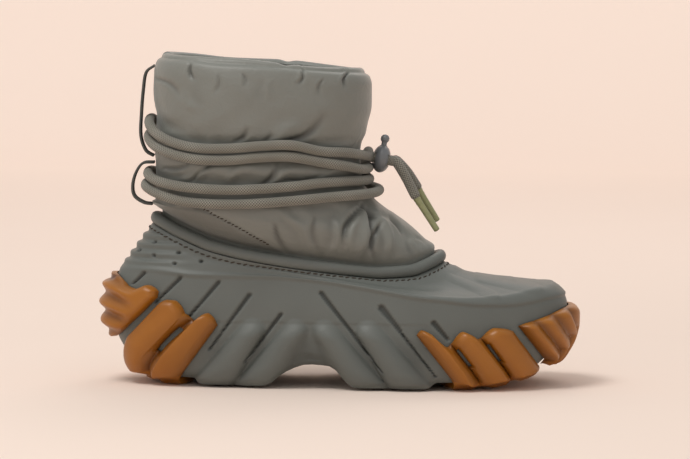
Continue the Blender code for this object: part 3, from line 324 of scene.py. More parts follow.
def tube(path, radius, corners=16, cap=0.5):
    """Rings of a radius round a path; each end closes in a dome that is cap times as long as it is wide."""
    run, side, up = frames_along(path)
    radius = np.broadcast_to(radius, len(path)).astype(float)
    swing = np.linspace(0, math.pi / 2, 6)[1:]
    head = path[:1] - run[:1] * (np.sin(swing) * radius[0] * cap)[::-1, None]
    tail = path[-1:] + run[-1:] * (np.sin(swing) * radius[-1] * cap)[:, None]
    centres = np.concatenate((head, path, tail))
    sizes = np.concatenate((np.cos(swing)[::-1] * radius[0], radius, np.cos(swing) * radius[-1]))
    sizes[0] = sizes[-1] = 0.0
    side = np.concatenate((np.repeat(side[:1], 5, 0), side, np.repeat(side[-1:], 5, 0)))
    up = np.concatenate((np.repeat(up[:1], 5, 0), up, np.repeat(up[-1:], 5, 0)))
    angle = np.linspace(0, math.tau, corners + 1)[None, :, None]
    circles = np.cos(angle) * side[:, None] + np.sin(angle) * up[:, None]
    points = centres[:, None] + sizes[:, None, None] * circles
    points[:, -1] = points[:, 0]
    u = np.broadcast_to(distances(centres)[:, None], points.shape[:2])
    v = np.broadcast_to(np.linspace(0, 1, corners + 1)[None], points.shape[:2])
    return points, np.stack((u, v), -1)


# %% [markdown]
# The boot's shape is kept in short tables of sections, as a last maker keeps them: how wide, how high and
# how full the shoe is at each station. A table is read along a smooth curve that never overshoots its own
# rows.
# %% Sizes and tables of sections
# Overall sizes
LENGTH = 0.302
HEEL_WIDTH = 0.088
FOREFOOT_WIDTH = 0.118
SHOULDER_HEIGHT = 0.072
ARCH_HEIGHT = 0.014
TOE_SPRING = 0.0135

# Foam shell
FLOOR_CLEARANCE = 0.001
RIM_REAR = 0.032
RIM_LENGTH = 0.184
RIM_WIDTH = 0.081
RIM_HEIGHT = 0.1013
RIM_WALL = 0.005
UPPER_WALL = 0.006
CUP_WALL = 0.011
FOOTBED_HEEL = 0.036
FOOTBED_BALL = 0.027
FOOTBED_CUP = 0.005

# Rubber
TREAD = 0.0044
GROOVE = 0.0024
WAIST_REACH = 0.009
POD = 0.0038

# Trim and shaft
GAP = 0.0003
PIPING_WIDTH = 0.007
PIPING_HEIGHT = 0.008
COLLAR_HEIGHT = 0.204
COLLAR_WIDTH = 0.106
COLLAR_SLOPE = 0.0045
SHAFT_WALL = 0.007
WEBBING = 0.0017
WEBBING_WIDTH = 0.015

# Drawcord and its lock
CORD = 0.0064
CORD_CLEARANCE = 0.0018
TIP = 0.0044
LOCK_DEPTH = 0.012
LOCK_WIDTH = 0.0205
LOCK_HEIGHT = 0.018
LOCK_LEAN = math.radians(10)
LOCK_CLEARANCE = 0.0004
PLUNGER_STEM = 0.005

# Shape of the rings
BLUNT = 2.6
OVAL = 2.25
PROBE = 0.0004


class Table:
    """Rows of sizes with named columns; the first column is where each row stands."""

    def __init__(self, names, *rows):
        self.names = names.split()
        self.rows = np.array(rows, float)

    def column(self, name):
        return self.rows[:, self.names.index(name)]

    def at(self, name, where):
        """Reads a column along a smooth curve that doesn't overshoot its rows."""
        place = self.rows[:, 0]
        value = self.column(name)
        run = np.diff(place)
        rise = np.diff(value) / run
        turning = rise[:-1] * rise[1:]
        steady = turning > 0
        slope = np.concatenate((rise[:1], np.zeros(len(value) - 2), rise[-1:]))
        slope[1:-1] = np.where(steady, 2 * turning / np.where(steady, rise[:-1] + rise[1:], 1), 0)
        where = np.clip(where, place[0], place[-1])
        row = np.clip(np.searchsorted(place, where, side="right") - 1, 0, len(run) - 1)
        f = (where - place[row]) / run[row]
        start = (1 + 2 * f) * (1 - f) ** 2 * value[row] + f * (1 - f) ** 2 * run[row] * slope[row]
        end = f * f * (3 - 2 * f) * value[row + 1] - f * f * (1 - f) * run[row] * slope[row + 1]
        return start + end


# Half widths of the foam seen from above: shares of HEEL_WIDTH, turning to FOREFOOT_WIDTH as ball goes to
# 1.
OUTLINE = Table(
    "station lateral medial ball bend",
    (0, 0.52, 0.515, 0, 0), (0.2, 0.53, 0.515, 0, 0), (0.36, 0.525, 0.505, 0.05, 0),
    (0.5, 0.51, 0.48, 0.45, 0), (0.67, 0.49, 0.465, 1, 0), (0.8, 0.5, 0.49, 1, 0.01),
    (1, 0.53, 0.555, 1, 0.05),
)
# Heights along the shoe. Rubber: 1 where a tread covers the foam. Arch, lift and shoulder: shares of
# ARCH_HEIGHT, TOE_SPRING and SHOULDER_HEIGHT.
HEIGHTS = Table(
    "station rubber arch lift shoulder",
    (0, 1, 0, 0.2, 1), (0.093, 1, 0, 0.2, 1.02), (0.126, 1, 0, 0, 1.01), (0.192, 1, 0, 0, 0.986),
    (0.219, 0, 0, 0, 0.986), (0.338, 0, 0, 0, 0.986), (0.371, 0, 0.45, 0, 0.982), (0.437, 0, 1, 0, 0.961),
    (0.483, 0, 0.93, 0, 0.94), (0.543, 0, 0, 0, 0.905), (0.679, 0, 0, 0, 0.81), (0.709, 1, 0, 0, 0.797),
    (0.795, 1, 0, 0, 0.757), (0.854, 1, 0, 0.2, 0.752), (0.907, 1, 0, 0.52, 0.772), (0.947, 1, 0, 1, 0.8),
    (1, 1, 0, 1, 0.81),
)
# Rings of the side from the tread's edge, rise 0, to the shoulder, rise 1: ends as shares of LENGTH,
# flare as a share of HEEL_WIDTH added to each half width.
SIDE = Table(
    "rise rear front flare",
    (0, 0.093, 0.947, -0.05), (0.06, 0.066, 0.96, -0.022), (0.17, 0.046, 0.971, -0.006),
    (0.35, 0.025, 0.983, 0), (0.55, 0.014, 0.988, 0), (0.7, 0.0125, 0.988, -0.006),
    (0.87, 0.02, 0.987, -0.022), (1, 0.03, 0.981, -0.036),
)
# The side's columns: where a column stands on the middle ring and where its foot is on the tread's edge.
FAN = Table(
    "middle foot",
    (0, 0), (0.13, 0.04), (0.216, 0.09), (0.297, 0.167), (0.389, 0.264), (0.416, 0.31), (0.4345, 0.405),
    (0.453, 0.5), (0.478, 0.548), (0.575, 0.662), (0.66, 0.763), (0.889, 0.965), (1, 1),
)
MIDDLE_RISE = 0.45
# How far the columns lean forward on the rim.
RIM_FAN = 0.45
# Fingers of the rubber pods, from the heel forwards: where a column starts in the side view as shares of
# LENGTH and SHOULDER_HEIGHT, how far it leans back for each step down, and how full its lug is
# underneath.
HEEL_FINGERS = Table(
    "x height lean lug",
    (0.119, 0.715, 0.91, 0.6), (0.137, 0.761, 0.91, 1), (0.154, 0.757, 0.91, 1), (0.167, 0.715, 0.91, 1),
    (0.1755, 0.646, 0.91, 1), (0.177, 0.615, 0.91, 0.3), (0.178, 0.578, 0.91, 0.3), (0.182, 0.53, 0.89, 0.8),
    (0.205, 0.625, 0.85, 1), (0.2235, 0.653, 0.79, 1), (0.237, 0.611, 0.74, 1), (0.2445, 0.549, 0.71, 1),
)
FOREFOOT_FINGERS = Table(
    "x height lean lug",
    (0.6605, 0.493, -0.8, 1), (0.6705, 0.535, -0.8, 1), (0.689, 0.507, -0.8, 1), (0.7085, 0.4375, -0.8, 1),
    (0.726, 0.389, -0.8, 0.5), (0.732, 0.4125, -0.8, 0.2), (0.737, 0.4375, -0.8, 0.2),
    (0.7445, 0.483, -0.8, 1), (0.7565, 0.521, -0.8, 1), (0.7765, 0.49, -0.79, 1), (0.79, 0.458, -0.78, 0.5),
    (0.7945, 0.464, -0.77, 0.2), (0.8, 0.482, -0.76, 0.2), (0.8085, 0.518, -0.76, 1),
    (0.823, 0.551, -0.75, 1), (0.846, 0.542, -0.75, 1), (0.8625, 0.521, -0.75, 0.6),
)
TOE_FINGERS = Table(
    "x height lean",
    (0.874, 0.5625, -0.8), (0.887, 0.581, -0.85), (0.904, 0.6, -0.85), (0.9205, 0.619, -0.8),
    (0.9405, 0.646, -0.7), (0.9585, 0.674, -0.5), (0.972, 0.694, -0.3), (0.984, 0.705, -0.1),
)
# The pod at the back of the heel, by distance round the girth in shares of LENGTH: its top edge as a
# share of SHOULDER_HEIGHT. Its low edge keeps POD_GROOVE above the first finger.
HEEL_POD = Table(
    "girth top",
    (0, 0.958), (0.025, 0.956), (0.045, 0.949), (0.063, 0.926), (0.08, 0.896), (0.095, 0.861),
    (0.116, 0.844), (0.142, 0.882), (0.157, 0.861), (0.167, 0.83),
)
FINGER_GIRTH = 0.034
BACK_GIRTH = 0.05
POD_BOW = 0.0011
POD_GROOVE = 0.0056
# Rings of the shaft from the hem to the collar; the lining goes down the same rings, a wall further in.
# Follow: 1 on the rim's curve, 0 on an oval of its own. Side, ends and lift move a ring off the rim's
# curve, as shares of RIM_WIDTH; rear and front are shares of LENGTH, half of COLLAR_WIDTH, height of
# COLLAR_HEIGHT; heel raises the ring's rear, as a share of COLLAR_HEIGHT.
SHAFT = Table(
    "ring follow side ends lift rear front half height heel",
    (0, 1, -0.09, -0.08, -0.1, 0.105, 0.56, 0.47, 0.57, 0),
    (1, 1, -0.052, -0.052, 0, 0.105, 0.56, 0.47, 0.57, 0),
    (2, 1, -0.049, -0.049, 0.104, 0.105, 0.56, 0.47, 0.57, 0),
    (3, 0.8, 0.05, 0.02, 0.15, 0.105, 0.565, 0.49, 0.57, 0),
    (4, 0.4, 0.1, 0.06, 0.18, 0.105, 0.568, 0.495, 0.57, 0),
    (5, 0, 0, 0, 0, 0.106, 0.562, 0.47, 0.598, 0.012), (6, 0, 0, 0, 0, 0.106, 0.545, 0.465, 0.637, 0.02),
    (7, 0, 0, 0, 0, 0.103, 0.543, 0.495, 0.68, 0.045), (8, 0, 0, 0, 0, 0.108, 0.54, 0.465, 0.715, 0.075),
    (9, 0, 0, 0, 0, 0.108, 0.543, 0.468, 0.755, 0.078), (10, 0, 0, 0, 0, 0.102, 0.556, 0.5, 0.815, 0.055),
    (11, 0, 0, 0, 0, 0.099, 0.564, 0.508, 0.88, 0.02), (12, 0, 0, 0, 0, 0.1, 0.565, 0.5, 0.955, 0),
    (13, 0, 0, 0, 0, 0.107, 0.56, 0.48, 0.99, 0), (14, 0, 0, 0, 0, 0.116, 0.55, 0.45, 1, 0),
)
# Webbing loops behind the heel: shares of LENGTH and COLLAR_HEIGHT along the middle of the band.
UPPER_LOOP = Table(
    "row x height",
    (0, 0.0945, 0.995), (1, 0.083, 0.972), (2, 0.077, 0.915), (3, 0.0735, 0.845), (4, 0.0725, 0.775),
    (5, 0.083, 0.728), (6, 0.1005, 0.71),
)
LOWER_LOOP = Table(
    "row x height",
    (0, 0.0975, 0.69), (1, 0.077, 0.686), (2, 0.062, 0.655), (3, 0.0555, 0.615), (4, 0.06, 0.582),
    (5, 0.08, 0.562), (6, 0.101, 0.558),
)
# The collar opening: half widths and heights as shares of RIM_WIDTH and RIM_HEIGHT.
RIM = Table(
    "share half height",
    (0, 0.46, 1), (0.07, 0.463, 0.94), (0.196, 0.475, 0.846), (0.321, 0.488, 0.793), (0.511, 0.5, 0.739),
    (0.699, 0.5, 0.698), (0.786, 0.495, 0.683), (0.886, 0.48, 0.69), (0.954, 0.46, 0.73), (1, 0.44, 0.769),
)
# The vamp's rise from the toe's shoulder to the rim.
CROWN = Table(
    "way rise",
    (0, 0), (0.045, 0.19), (0.09, 0.3), (0.18, 0.345), (0.47, 0.46), (0.61, 0.53), (0.82, 0.69),
    (0.91, 0.84), (1, 1),
)
# The cavity from the rim down: place on the foam, 2 at the rim and 1 at the shoulder, and the wall there.
INNER = Table(
    "place wall",
    (0.45, 0.95), (0.62, 0.9), (0.85, 0.7), (1.1, 0.12), (1.5, 0),
)


def closing(share, power):
    """Rounds a ring off at both ends: 1 at its middle, 0 at its ends."""
    return (1 - np.abs(2 * share - 1) ** power) ** (1 / power)


def smooth_step(value, low, high):
    f = np.clip((value - low) / (high - low), 0, 1)
    return f * f * (3 - 2 * f)


print("length", LENGTH, "forefoot", FOREFOOT_WIDTH, "collar at", COLLAR_HEIGHT)

# %% [markdown]
# The foam's side is a stack of rings. Each ring is a blunt oval, and a point on it is found from its
# share of the way from heel to toe, its rise from tread to shoulder and the side of the foot.
# %% Surfaces of the foam
def tread_height(x):
    """Underside of the foam above the floor."""
    station = x / LENGTH
    rubber = HEIGHTS.at("rubber", station) * (TREAD + GAP - FLOOR_CLEARANCE)
    arch = HEIGHTS.at("arch", station) * ARCH_HEIGHT
    return FLOOR_CLEARANCE + rubber + arch + HEIGHTS.at("lift", station) * TOE_SPRING


def shoulder_height(x):
    return HEIGHTS.at("shoulder", x / LENGTH) * SHOULDER_HEIGHT


def ring_ends(rise):
    return SIDE.at("rear", rise) * LENGTH, SIDE.at("front", rise) * LENGTH


def side_point(share, rise, side):
    """Point of the foam's side; side is -1 on the outer and +1 on the inner side of the foot."""
    rear, front = ring_ends(rise)
    x = rear + share * (front - rear)
    station = x / LENGTH
    width = HEEL_WIDTH + OUTLINE.at("ball", station) * (FOREFOOT_WIDTH - HEEL_WIDTH)
    half = np.where(side < 0, OUTLINE.at("lateral", station), OUTLINE.at("medial", station)) * width
    half = half + SIDE.at("flare", rise) * HEEL_WIDTH
    y = OUTLINE.at("bend", station) * FOREFOOT_WIDTH + side * half * closing(share, BLUNT)
    z = tread_height(x) * (1 - rise) + shoulder_height(x) * rise
    return np.stack((x, y, z), -1)


def rim_point(share, side, spread, lift):
    """Point beside the collar opening, moved outwards by spread and upwards by lift."""
    x = RIM_REAR - spread + share * (RIM_LENGTH + 2 * spread)
    half = RIM.at("half", share) * RIM_WIDTH + spread
    y = OUTLINE.at("bend", x / LENGTH) * FOREFOOT_WIDTH + side * half * closing(share, OVAL)
    z = RIM.at("height", share) * RIM_HEIGHT + lift + 0 * share
    return np.stack((x, y, z), -1)


def rim_share(middle):
    """Place on the rim of a column that stands at middle on the middle ring."""
    return middle + RIM_FAN * middle**2 * (1 - middle)


def foam_point(middle, place, side):
    """Point of the plain foam: place runs from 0 at the tread to 1 at the shoulder and 2 at the rim."""
    middle, place, side = np.broadcast_arrays(middle, place, side)
    rise = np.clip(place, 0, 1)
    down = np.clip(1 - rise / MIDDLE_RISE, 0, 1)
    share = middle + (FAN.at("foot", middle) - middle) * down
    low = side_point(share, rise, side)
    up = np.clip(place - 1, 0, 1)
    top = rim_point(rim_share(middle), side, RIM_WALL / 2, 0)
    toe = smooth_step(share, 0.55, 0.92)
    climb = up + (CROWN.at("rise", up) - up) * toe
    way = np.stack((up, up, climb), -1)
    return low + (top - low) * way


def girth_table():
    """Shares of the middle ring and the distance round it from the middle of the heel."""
    turn = np.cos(np.linspace(0, math.pi, 1201))
    share = 0.5 - 0.5 * np.sign(turn) * np.abs(turn) ** (2 / BLUNT)
    return share, distances(side_point(share, np.full_like(share, MIDDLE_RISE), np.full_like(share, -1)))


GIRTH_SHARE, GIRTH_LENGTH = girth_table()


def share_at(girth):
    return np.interp(girth, GIRTH_LENGTH, GIRTH_SHARE)


def girth_at(share):
    return np.interp(share, GIRTH_SHARE, GIRTH_LENGTH)


def outward(point, along, place, side):
    """Outward unit normal of a surface given as point(along, place, side), where along runs by share."""
    girth = girth_at(along)
    ahead = share_at(girth + PROBE)
    behind = share_at(girth - PROBE)
    run = point(ahead, place, side) - point(behind, place, side)
    rise = point(along, place + 0.01, side) - point(along, place - 0.01, side)
    return unit(np.cross(run, rise) * -np.asarray(side)[..., None])


def foam_inside(middle, place, side):
    """Wall of the cavity, a wall's thickness inside the plain foam."""
    middle, place, side = np.broadcast_arrays(middle, place, side)
    plain = foam_point(middle, place, side)
    normal = outward(foam_point, middle, np.clip(place, 0.3, 1.9), side)
    wall = UPPER_WALL + INNER.at("wall", place) * (CUP_WALL - UPPER_WALL)
    return plain - normal * wall[..., None]


def footbed_height(x):
    ball = smooth_step(x / LENGTH, 0.30, 0.68)
    spring = HEIGHTS.at("lift", x / LENGTH) * TOE_SPRING * smooth_step(x / LENGTH, 0.5, 0.8)
    return FOOTBED_HEEL + (FOOTBED_BALL - FOOTBED_HEEL) * ball + 0.6 * spring


def footbed_ring(middle, side, inset):
    """Edge of the footbed, inset from the cup of the cavity."""
    middle, side = np.broadcast_arrays(middle, side)
    cup = foam_inside(middle, np.full_like(middle, MIDDLE_RISE), side)
    normal = outward(foam_point, middle, np.full_like(middle, MIDDLE_RISE), side)
    edge = cup - unit(normal * (1, 1, 0)) * inset
    edge[..., 2] = footbed_height(edge[..., 0])
    return edge


def around(half):
    """Column values and sides of a whole ring: heel to toe on the outer side, and back on the inner side."""
    values = np.concatenate((half, half[-2:0:-1]))
    sides = np.concatenate((np.full(len(half), -1.0), np.full(len(half) - 2, 1.0)))
    return values, sides


# %% [markdown]
# Marks in the foam are drawn in the side view, in millimetres, as short lines with a width at each end. The
# distance from a line gives a rounded bar or a rounded groove, so one formula makes lugs, slits and ridges.
# %% Marks in the side view
def bar(x, z, line, round_over=2.0):
    """1 on a line from (x1, z1) to (x2, z2), falling to 0 at a half width that changes along it."""
    x1, z1, x2, z2, start, end = line
    run = np.array((x2 - x1, z2 - z1))
    along = ((x - x1) * run[0] + (z - z1) * run[1]) / (run @ run)
    f = np.clip(along, 0, 1)
    away = np.hypot(x - (x1 + f * run[0]), z - (z1 + f * run[1]))
    return np.clip(1 - (away / (start + (end - start) * f)) ** round_over, 0, 1)


# Each row: ends of the line, then its half width at each end.
LUG_LINES = ((96, 37, 66, -6, 7.5, 12.8), (123, 37, 94, -6, 7.5, 12.8), (141.5, 37, 172, -6, 7.5, 12.8),
             (169, 37, 201, -6, 7.5, 12.8))
SLITS = (
    (25.8, 71, 18.7, 64, 1.4, 0.7), (49.4, 68.7, 33.3, 52.7, 1.5, 0.8), (73.8, 66.5, 54.2, 43, 1.6, 0.8),
    (93.7, 59, 68, 23.5, 1.6, 0.7), (113.8, 47, 91.2, 16.5, 1.5, 0.6), (139.2, 61, 178.6, 11.5, 1.7, 0.7),
    (176.8, 53, 212.4, 8.5, 1.3, 0.6), (177.5, 52.2, 189.5, 38, 2.6, 1.2), (210.6, 43, 219.5, 32.5, 2, 1.1),
)
VAMP_RIDGES = ((226, 76, 262, 67, 2.6, 3.4), (240, 68.5, 278, 62, 2.2, 3.2), (222, 69, 250, 59, 2.4, 3.0),
               (262, 70, 288, 65.5, 2.0, 3.0))
PINHOLES = ((32, 90.4), (48, 84.6), (62.5, 79.6), (21.7, 84.6), (32, 82.2), (45.5, 77.6))
# Depths, heights and places of the marks, in millimetres.
SLIT_DEPTH = 1.6
LUG_STAND = 5.4
RIDGE = 1.1
RIB_PITCH = 5.6
HOLE_EDGE = (-1.6, -0.5)
NOTCH_TOP = 25.5
NOTCH_X = 132.7


def side_marks(point, place):
    """Height of every mark over the plain foam, in metres, and the painted shade of each point, from 0 to 1.
    """
    x, z = point[..., 0] * 1000, point[..., 2] * 1000
    lugs = np.max([bar(x, z, line, 2.2) ** 0.72 for line in LUG_LINES], axis=0)
    slits = np.max([smooth_step(bar(x, z, line, 1.6), 0, 0.75) for line in SLITS], axis=0) * (place < 1.15)
    vamp = np.max([bar(x, z, line) for line in VAMP_RIDGES], axis=0) * (place > 1)
    holes = np.max([smooth_step(-np.hypot(x - hole_x, (z - hole_z) * 1.1), *HOLE_EDGE)
                    for hole_x, hole_z in PINHOLES], axis=0) * (place > 1)
    edge = np.interp(x, (40, 78, 98, 192, 215), (0, 1, 1, 1, 0)) * (place < 1) * smooth_step(-z, -42.4, -41.2)
    from_ridge = place - 1.0
    ridge = np.where(from_ridge < 0, np.exp(-(from_ridge / 0.022) ** 2), np.exp(-(from_ridge / 0.10) ** 2))
    trough = np.exp(-((place - 1.72) / 0.16) ** 2) * smooth_step(x, 36, 70) * (1 - smooth_step(x, 205, 225))
    ribs = np.sin((z - 76.0) * math.tau / RIB_PITCH) * smooth_step(z, 74, 79) * (1 - smooth_step(z, 97, 101))
    ribs = ribs * (1 - smooth_step(x, 24, 62)) * (place > 1.02)
    half_notch = np.clip((NOTCH_TOP - z) / 8.2, 0, 1) * 5.4
    notch = smooth_step(half_notch - np.abs(x - NOTCH_X), 0, 1.2)
    notch = notch * smooth_step(z, 16.8, 18.4) * (z < NOTCH_TOP)
    height = LUG_STAND * lugs * (1 - smooth_step(z, 32, 47)) - SLIT_DEPTH * slits - 0.40 * edge
    height = height + RIDGE * ridge * smooth_step(x, 8, 60) - 0.9 * trough + 0.85 * ribs + 0.75 * vamp
    height = height - 1.1 * notch - 1.6 * holes
    between = (1 - lugs) * (place < 0.55) * smooth_step(x, 60, 84) * (1 - smooth_step(x, 196, 214))
    # Painted shade: darker in the slits, pinholes and notch, and low down between the lugs.
    painted_shade = np.max((slits * 0.8, holes, 0.42 * between * (1 - smooth_step(z, 18, 40)), 0.5 * notch), axis=0)
    return height / 1000, np.clip(painted_shade, 0, 1)


print("slits", len(SLITS), "pinholes a side", len(PINHOLES))

# %% [markdown]
# The real shell is one moulding of soft foam with a fine dry grain. Its colour is an even grey-green.
# The shader darkens it with painted shade that the mesh carries as an attribute: in the slits, pinholes
# and notch, and low down between the lugs.
# %% Foam finish
def painted_shade_tone(tree, tone, shade):
    """Tone that turns to a painted shade where the mesh's painted-shade attribute is high."""
    depth = node(tree, "Attribute", set_attribute_name="painted_shade", set_attribute_type="GEOMETRY")
    return mix(tree, depth.outputs["Fac"], tone, shade)


def grainy_finish(name, light, dark, shade, roughness, grain_scale, grain_depth,
                  patch_scale=28.0, spread=0.07):
    """Moulded finish: two tones in soft patches, with painted shade from the mesh's attribute, and a fine
    grain in its bump.
    """
    material, tree, surface, place = plain_finish(name, roughness)
    tone = mix(tree, noise(tree, place, patch_scale, 3.0), dark, light)
    grain = noise(tree, place, grain_scale, 2.0, Roughness=0.6)
    feed(surface, "Base Color", painted_shade_tone(tree, tone, shade))
    feed(surface, "Roughness", remap(tree, grain, 0, 1, roughness - spread, roughness + spread))
    emboss(surface, grain, 0.5, grain_depth)
    return material


FOAM = grainy_finish("grey_green_foam", (0.138, 0.148, 0.135), (0.115, 0.124, 0.113), (0.028, 0.031, 0.028),
                     0.50, 950.0, 0.00022)

# %% [markdown]
# The shell could be sculpted, but its rings and marks are known, so it is computed: rings from the tread
# up to the rim with every mark pushed along the outward direction, then over the rim and down the cavity
# to the footbed.
# %% Shell
RING_HALF = 322
SIDE_RINGS = np.linspace(0, 1, 74)
UPPER_RINGS = np.linspace(0, 1, 46)[1:]
CAVITY_PLACES = (1.9, 1.75, 1.6, 1.4, 1.2, 1.0, 0.85, 0.72, 0.62)


def closed_ring(half):
    """Shares and sides of a ring that ends on its first point."""
    values, sides = around(half)
    return np.append(values, values[0]), np.append(sides, sides[0])


def spread_over(ring, steps):
    """Straight lines over a closed ring from its outer to its inner side, one column for each step."""
    half = len(ring) // 2 + 1
    outer, inner = ring[:half], ring[half - 1:][::-1]
    steps = np.asarray(steps)[None, :, None]
    return outer[:, None] * (1 - steps) + inner[:, None] * steps


ring_share, ring_side = closed_ring(share_at(np.linspace(0, GIRTH_LENGTH[-1], RING_HALF)))
place = np.concatenate((SIDE_RINGS, 1 + UPPER_RINGS))[:, None]
share_grid, place_grid, side_grid = np.broadcast_arrays(ring_share[None], place, ring_side[None])
plain = foam_point(share_grid, place_grid, side_grid)
normal = outward(foam_point, share_grid, np.clip(place_grid, 0.02, 1.98), side_grid)
normal[..., 2] *= 1 - smooth_step(-place_grid, -0.2, 0.0)
raised, painted_shade = side_marks(plain, place_grid)
near_rim = 1 - smooth_step(place_grid, 1.9, 2.0)
skin = plain + normal * (raised * near_rim)[..., None]
rim_inner = rim_point(rim_share(ring_share), ring_side, -RIM_WALL / 2, 0)
rim_top = (skin[-1] + rim_inner) / 2 + (0, 0, 0.0001)
cavity = [foam_inside(ring_share, np.full_like(ring_share, p), ring_side) for p in CAVITY_PLACES]
cup = foam_inside(ring_share, np.full_like(ring_share, MIDDLE_RISE), ring_side)
cup[:, 2] = footbed_height(cup[:, 0]) + FOOTBED_CUP
bed_edge = footbed_ring(ring_share, ring_side, FOOTBED_CUP)
wall = np.concatenate((skin, [rim_top, rim_inner], cavity, [cup, bed_edge]))
wall_painted_shade = np.concatenate((painted_shade, np.zeros((len(wall) - len(skin), painted_shade.shape[1]))))
underside = spread_over(skin[0], np.linspace(0, 1, 9))
underside[:, 1:-1, 2] = tread_height(underside[:, 1:-1, 0])
bed = spread_over(bed_edge, np.linspace(0, 1, 5))
put("foam_shell", [(wall, None, wall_painted_shade), (underside,), (bed,)], FOAM, ["shell"], angle=80)

# %% [markdown]
# A round foam edging sits on the rim and hides its join. It is a tube whose section is an oval with a
# flat foot, carried round the rim's own curve, with a few soft waves where it bends round the heel.
# %% Edging on the rim
SECTION_FOOT = math.sin(math.tau / 6)
edging_share = rim_share(ring_share)
rows = []
for turn in np.linspace(0, math.tau, 15):
    height = max(math.sin(turn), -SECTION_FOOT)
    spread = math.cos(turn) * PIPING_WIDTH / 2 * (1.0 if height > -0.85 else 0.8)
    lift = GAP + (SECTION_FOOT + height) * PIPING_HEIGHT / 2
    rows.append(rim_point(edging_share, ring_side, spread, lift))
edging = np.array(rows)
edging[..., 2] += 0.00022 * np.sin(edging_share * 55) * (1 - smooth_step(edging_share, 0.1, 0.3))
edging[-1] = edging[0]
put("rim_edging", [(edging,)], FOAM, ["collar_piping"])

# %% [markdown]
# A lock stitch holds the edging on the real boot: short dark stitches in a slanting row. One stitch is a
# small spindle of a few faces. All of them are placed at once, from their centres and directions.
# %% Stitches under the edging
THREAD = speckled_finish("dark_thread", 0.8, 1400.0, 1.0, (0.036, 0.027, 0.0192), (0.060, 0.045, 0.032),
                         0.6, 0.0002)
# Rings of one stitch: place along it and girth.
SPINDLE = ((-0.5, 0.0), (-0.4, 0.75), (0.0, 1.0), (0.4, 0.75), (0.5, 0.0))
STITCH_DROP = 0.0027


def put_stitches(name, path, normals, pitch, size, thick, lean, zigzag):
    """Spindles at an even pitch along a path, turned by lean and a little to and fro within the surface."""
    length = distances(path)
    at = np.arange(pitch / 2, length[-1], pitch)
    centres = read_at(path, length, at)
    run = unit(read_at(np.gradient(path, length, axis=0), length, at))
    out = unit(read_at(normals, length, at))
    swing = (np.sign(np.sin(np.arange(len(at)) * math.pi + 0.5)) * zigzag + lean)[:, None]
    run = run * np.cos(swing) + np.cross(out, run) * np.sin(swing)
    side = unit(np.cross(run, out))
    up = np.cross(side, run)
    angle = np.linspace(0, math.tau, 7)[:, None]
    grids = []
    for centre, ahead, beside, above in zip(centres, run, side, up):
        round_it = np.cos(angle) * beside + np.sin(angle) * above
        grids.append((np.array([centre + along * size * ahead + girth * thick * round_it
                                for along, girth in SPINDLE]),))
    return put(name, grids, THREAD)


below_rim = np.cumsum(np.linalg.norm(np.diff(skin[::-1], axis=0), axis=2), 0)
row = len(skin) - 2 - (below_rim < STITCH_DROP).sum(0)
column = np.arange(skin.shape[1])
height_over = below_rim[len(skin) - 2 - row, column] - STITCH_DROP
low, high = skin[row, column], skin[row + 1, column]
share_up = (height_over / np.linalg.norm(high - low, axis=1))[:, None]
path = low * (1 - share_up) + high * share_up
path[-1] = path[0]
put_stitches("rim_stitches", path, normal[row, column], 0.0041, 0.0032, 0.00055, 0.25, 0.18)

# %% [markdown]
# Gum rubber pods wrap the corners of the sole, each with fingers that climb the side. A pod is a skin
# over the foam: its columns follow the leaning fingers, and its thickness swells over each finger and
# rolls down to every edge.
# %% Gum rubber finish
# Its third colour is painted shade, for the pods' valleys, crease and the dips between their ribs.
RUBBER = grainy_finish("gum_rubber", (0.400, 0.146, 0.0085), (0.305, 0.100, 0.0055), (0.078, 0.022, 0.003),
                       0.40, 700.0, 0.00010, 42.0, 0.06)

# %% [markdown]
# Each finger's column starts at its own height and leans back as it comes down. The table gives a column
# for every crest and valley, and the fine columns between them are read along the table's smooth curves.
# %% Columns of the fingers
ROLL = 0.0056
POD_FULL = 0.0070
THINNEST = 0.0004
FINE = 9


def finger_lines(columns, steps):
    """Place on the rings and rise of each column, from its top down; lean is the way back for each step."""
    x_top, height, lean = (column[:, None] for column in columns)
    x_top, height = x_top * LENGTH, height * SHOULDER_HEIGHT
    rise_top = (height - tread_height(x_top)) / (shoulder_height(x_top) - tread_height(x_top))
    rise = rise_top * (1 - np.asarray(steps)[None])
    x = np.broadcast_to(x_top, rise.shape)
    for _ in range(6):
        z = tread_height(x) * (1 - rise) + shoulder_height(x) * rise
        x = x_top - lean * (height - z)
    rear, front = ring_ends(rise)
    return (x - rear) / (front - rear), rise


def pod_columns(table, end, steps):
    """Shares, rises and fine column numbers of a pod, kept a step apart where they meet the shoe's end."""
    count = len(table.rows)
    number = np.linspace(0, count - 1, (count - 1) * FINE + 1)
    x = np.interp(number, np.arange(count), table.rows[:, 0])
    share, rise = finger_lines((x, table.at("height", x), table.at("lean", x)), steps)
    from_end = number if end != "toe" else count - 1 - number
    edge = FINGER_GIRTH * (1 - (1 - (from_end + (end == "toe")) / 12) ** 2)[:, None]
    if end == "heel":
        share = np.maximum(share, share_at(edge + BACK_GIRTH * (1 - np.asarray(steps)[None])))
    if end == "toe":
        share = np.minimum(share, share_at(GIRTH_LENGTH[-1] - edge))
    return share.T, rise.T, number, x


def rolled(distance, radius=ROLL):
    """Quarter circle: 0 at an edge and 1 from a radius away."""
    return np.sqrt(np.clip(1 - (1 - np.clip(distance / radius, 0, 1)) ** 2, 0, 1))


def edge_distance(point, bottom=False):
    """Distance of each point from the grid's top, first and last edges, and perhaps from its bottom one."""
    along, down = (np.diff(point, axis=axis, prepend=point.take([0], axis)) for axis in (1, 0))
    along, down = np.cumsum(np.linalg.norm(along, axis=2), 1), np.cumsum(np.linalg.norm(down, axis=2), 0)
    away = np.minimum(np.minimum(along, along[:, -1:] - along), down)
    return np.minimum(away, down[-1:] - down) if bottom else away


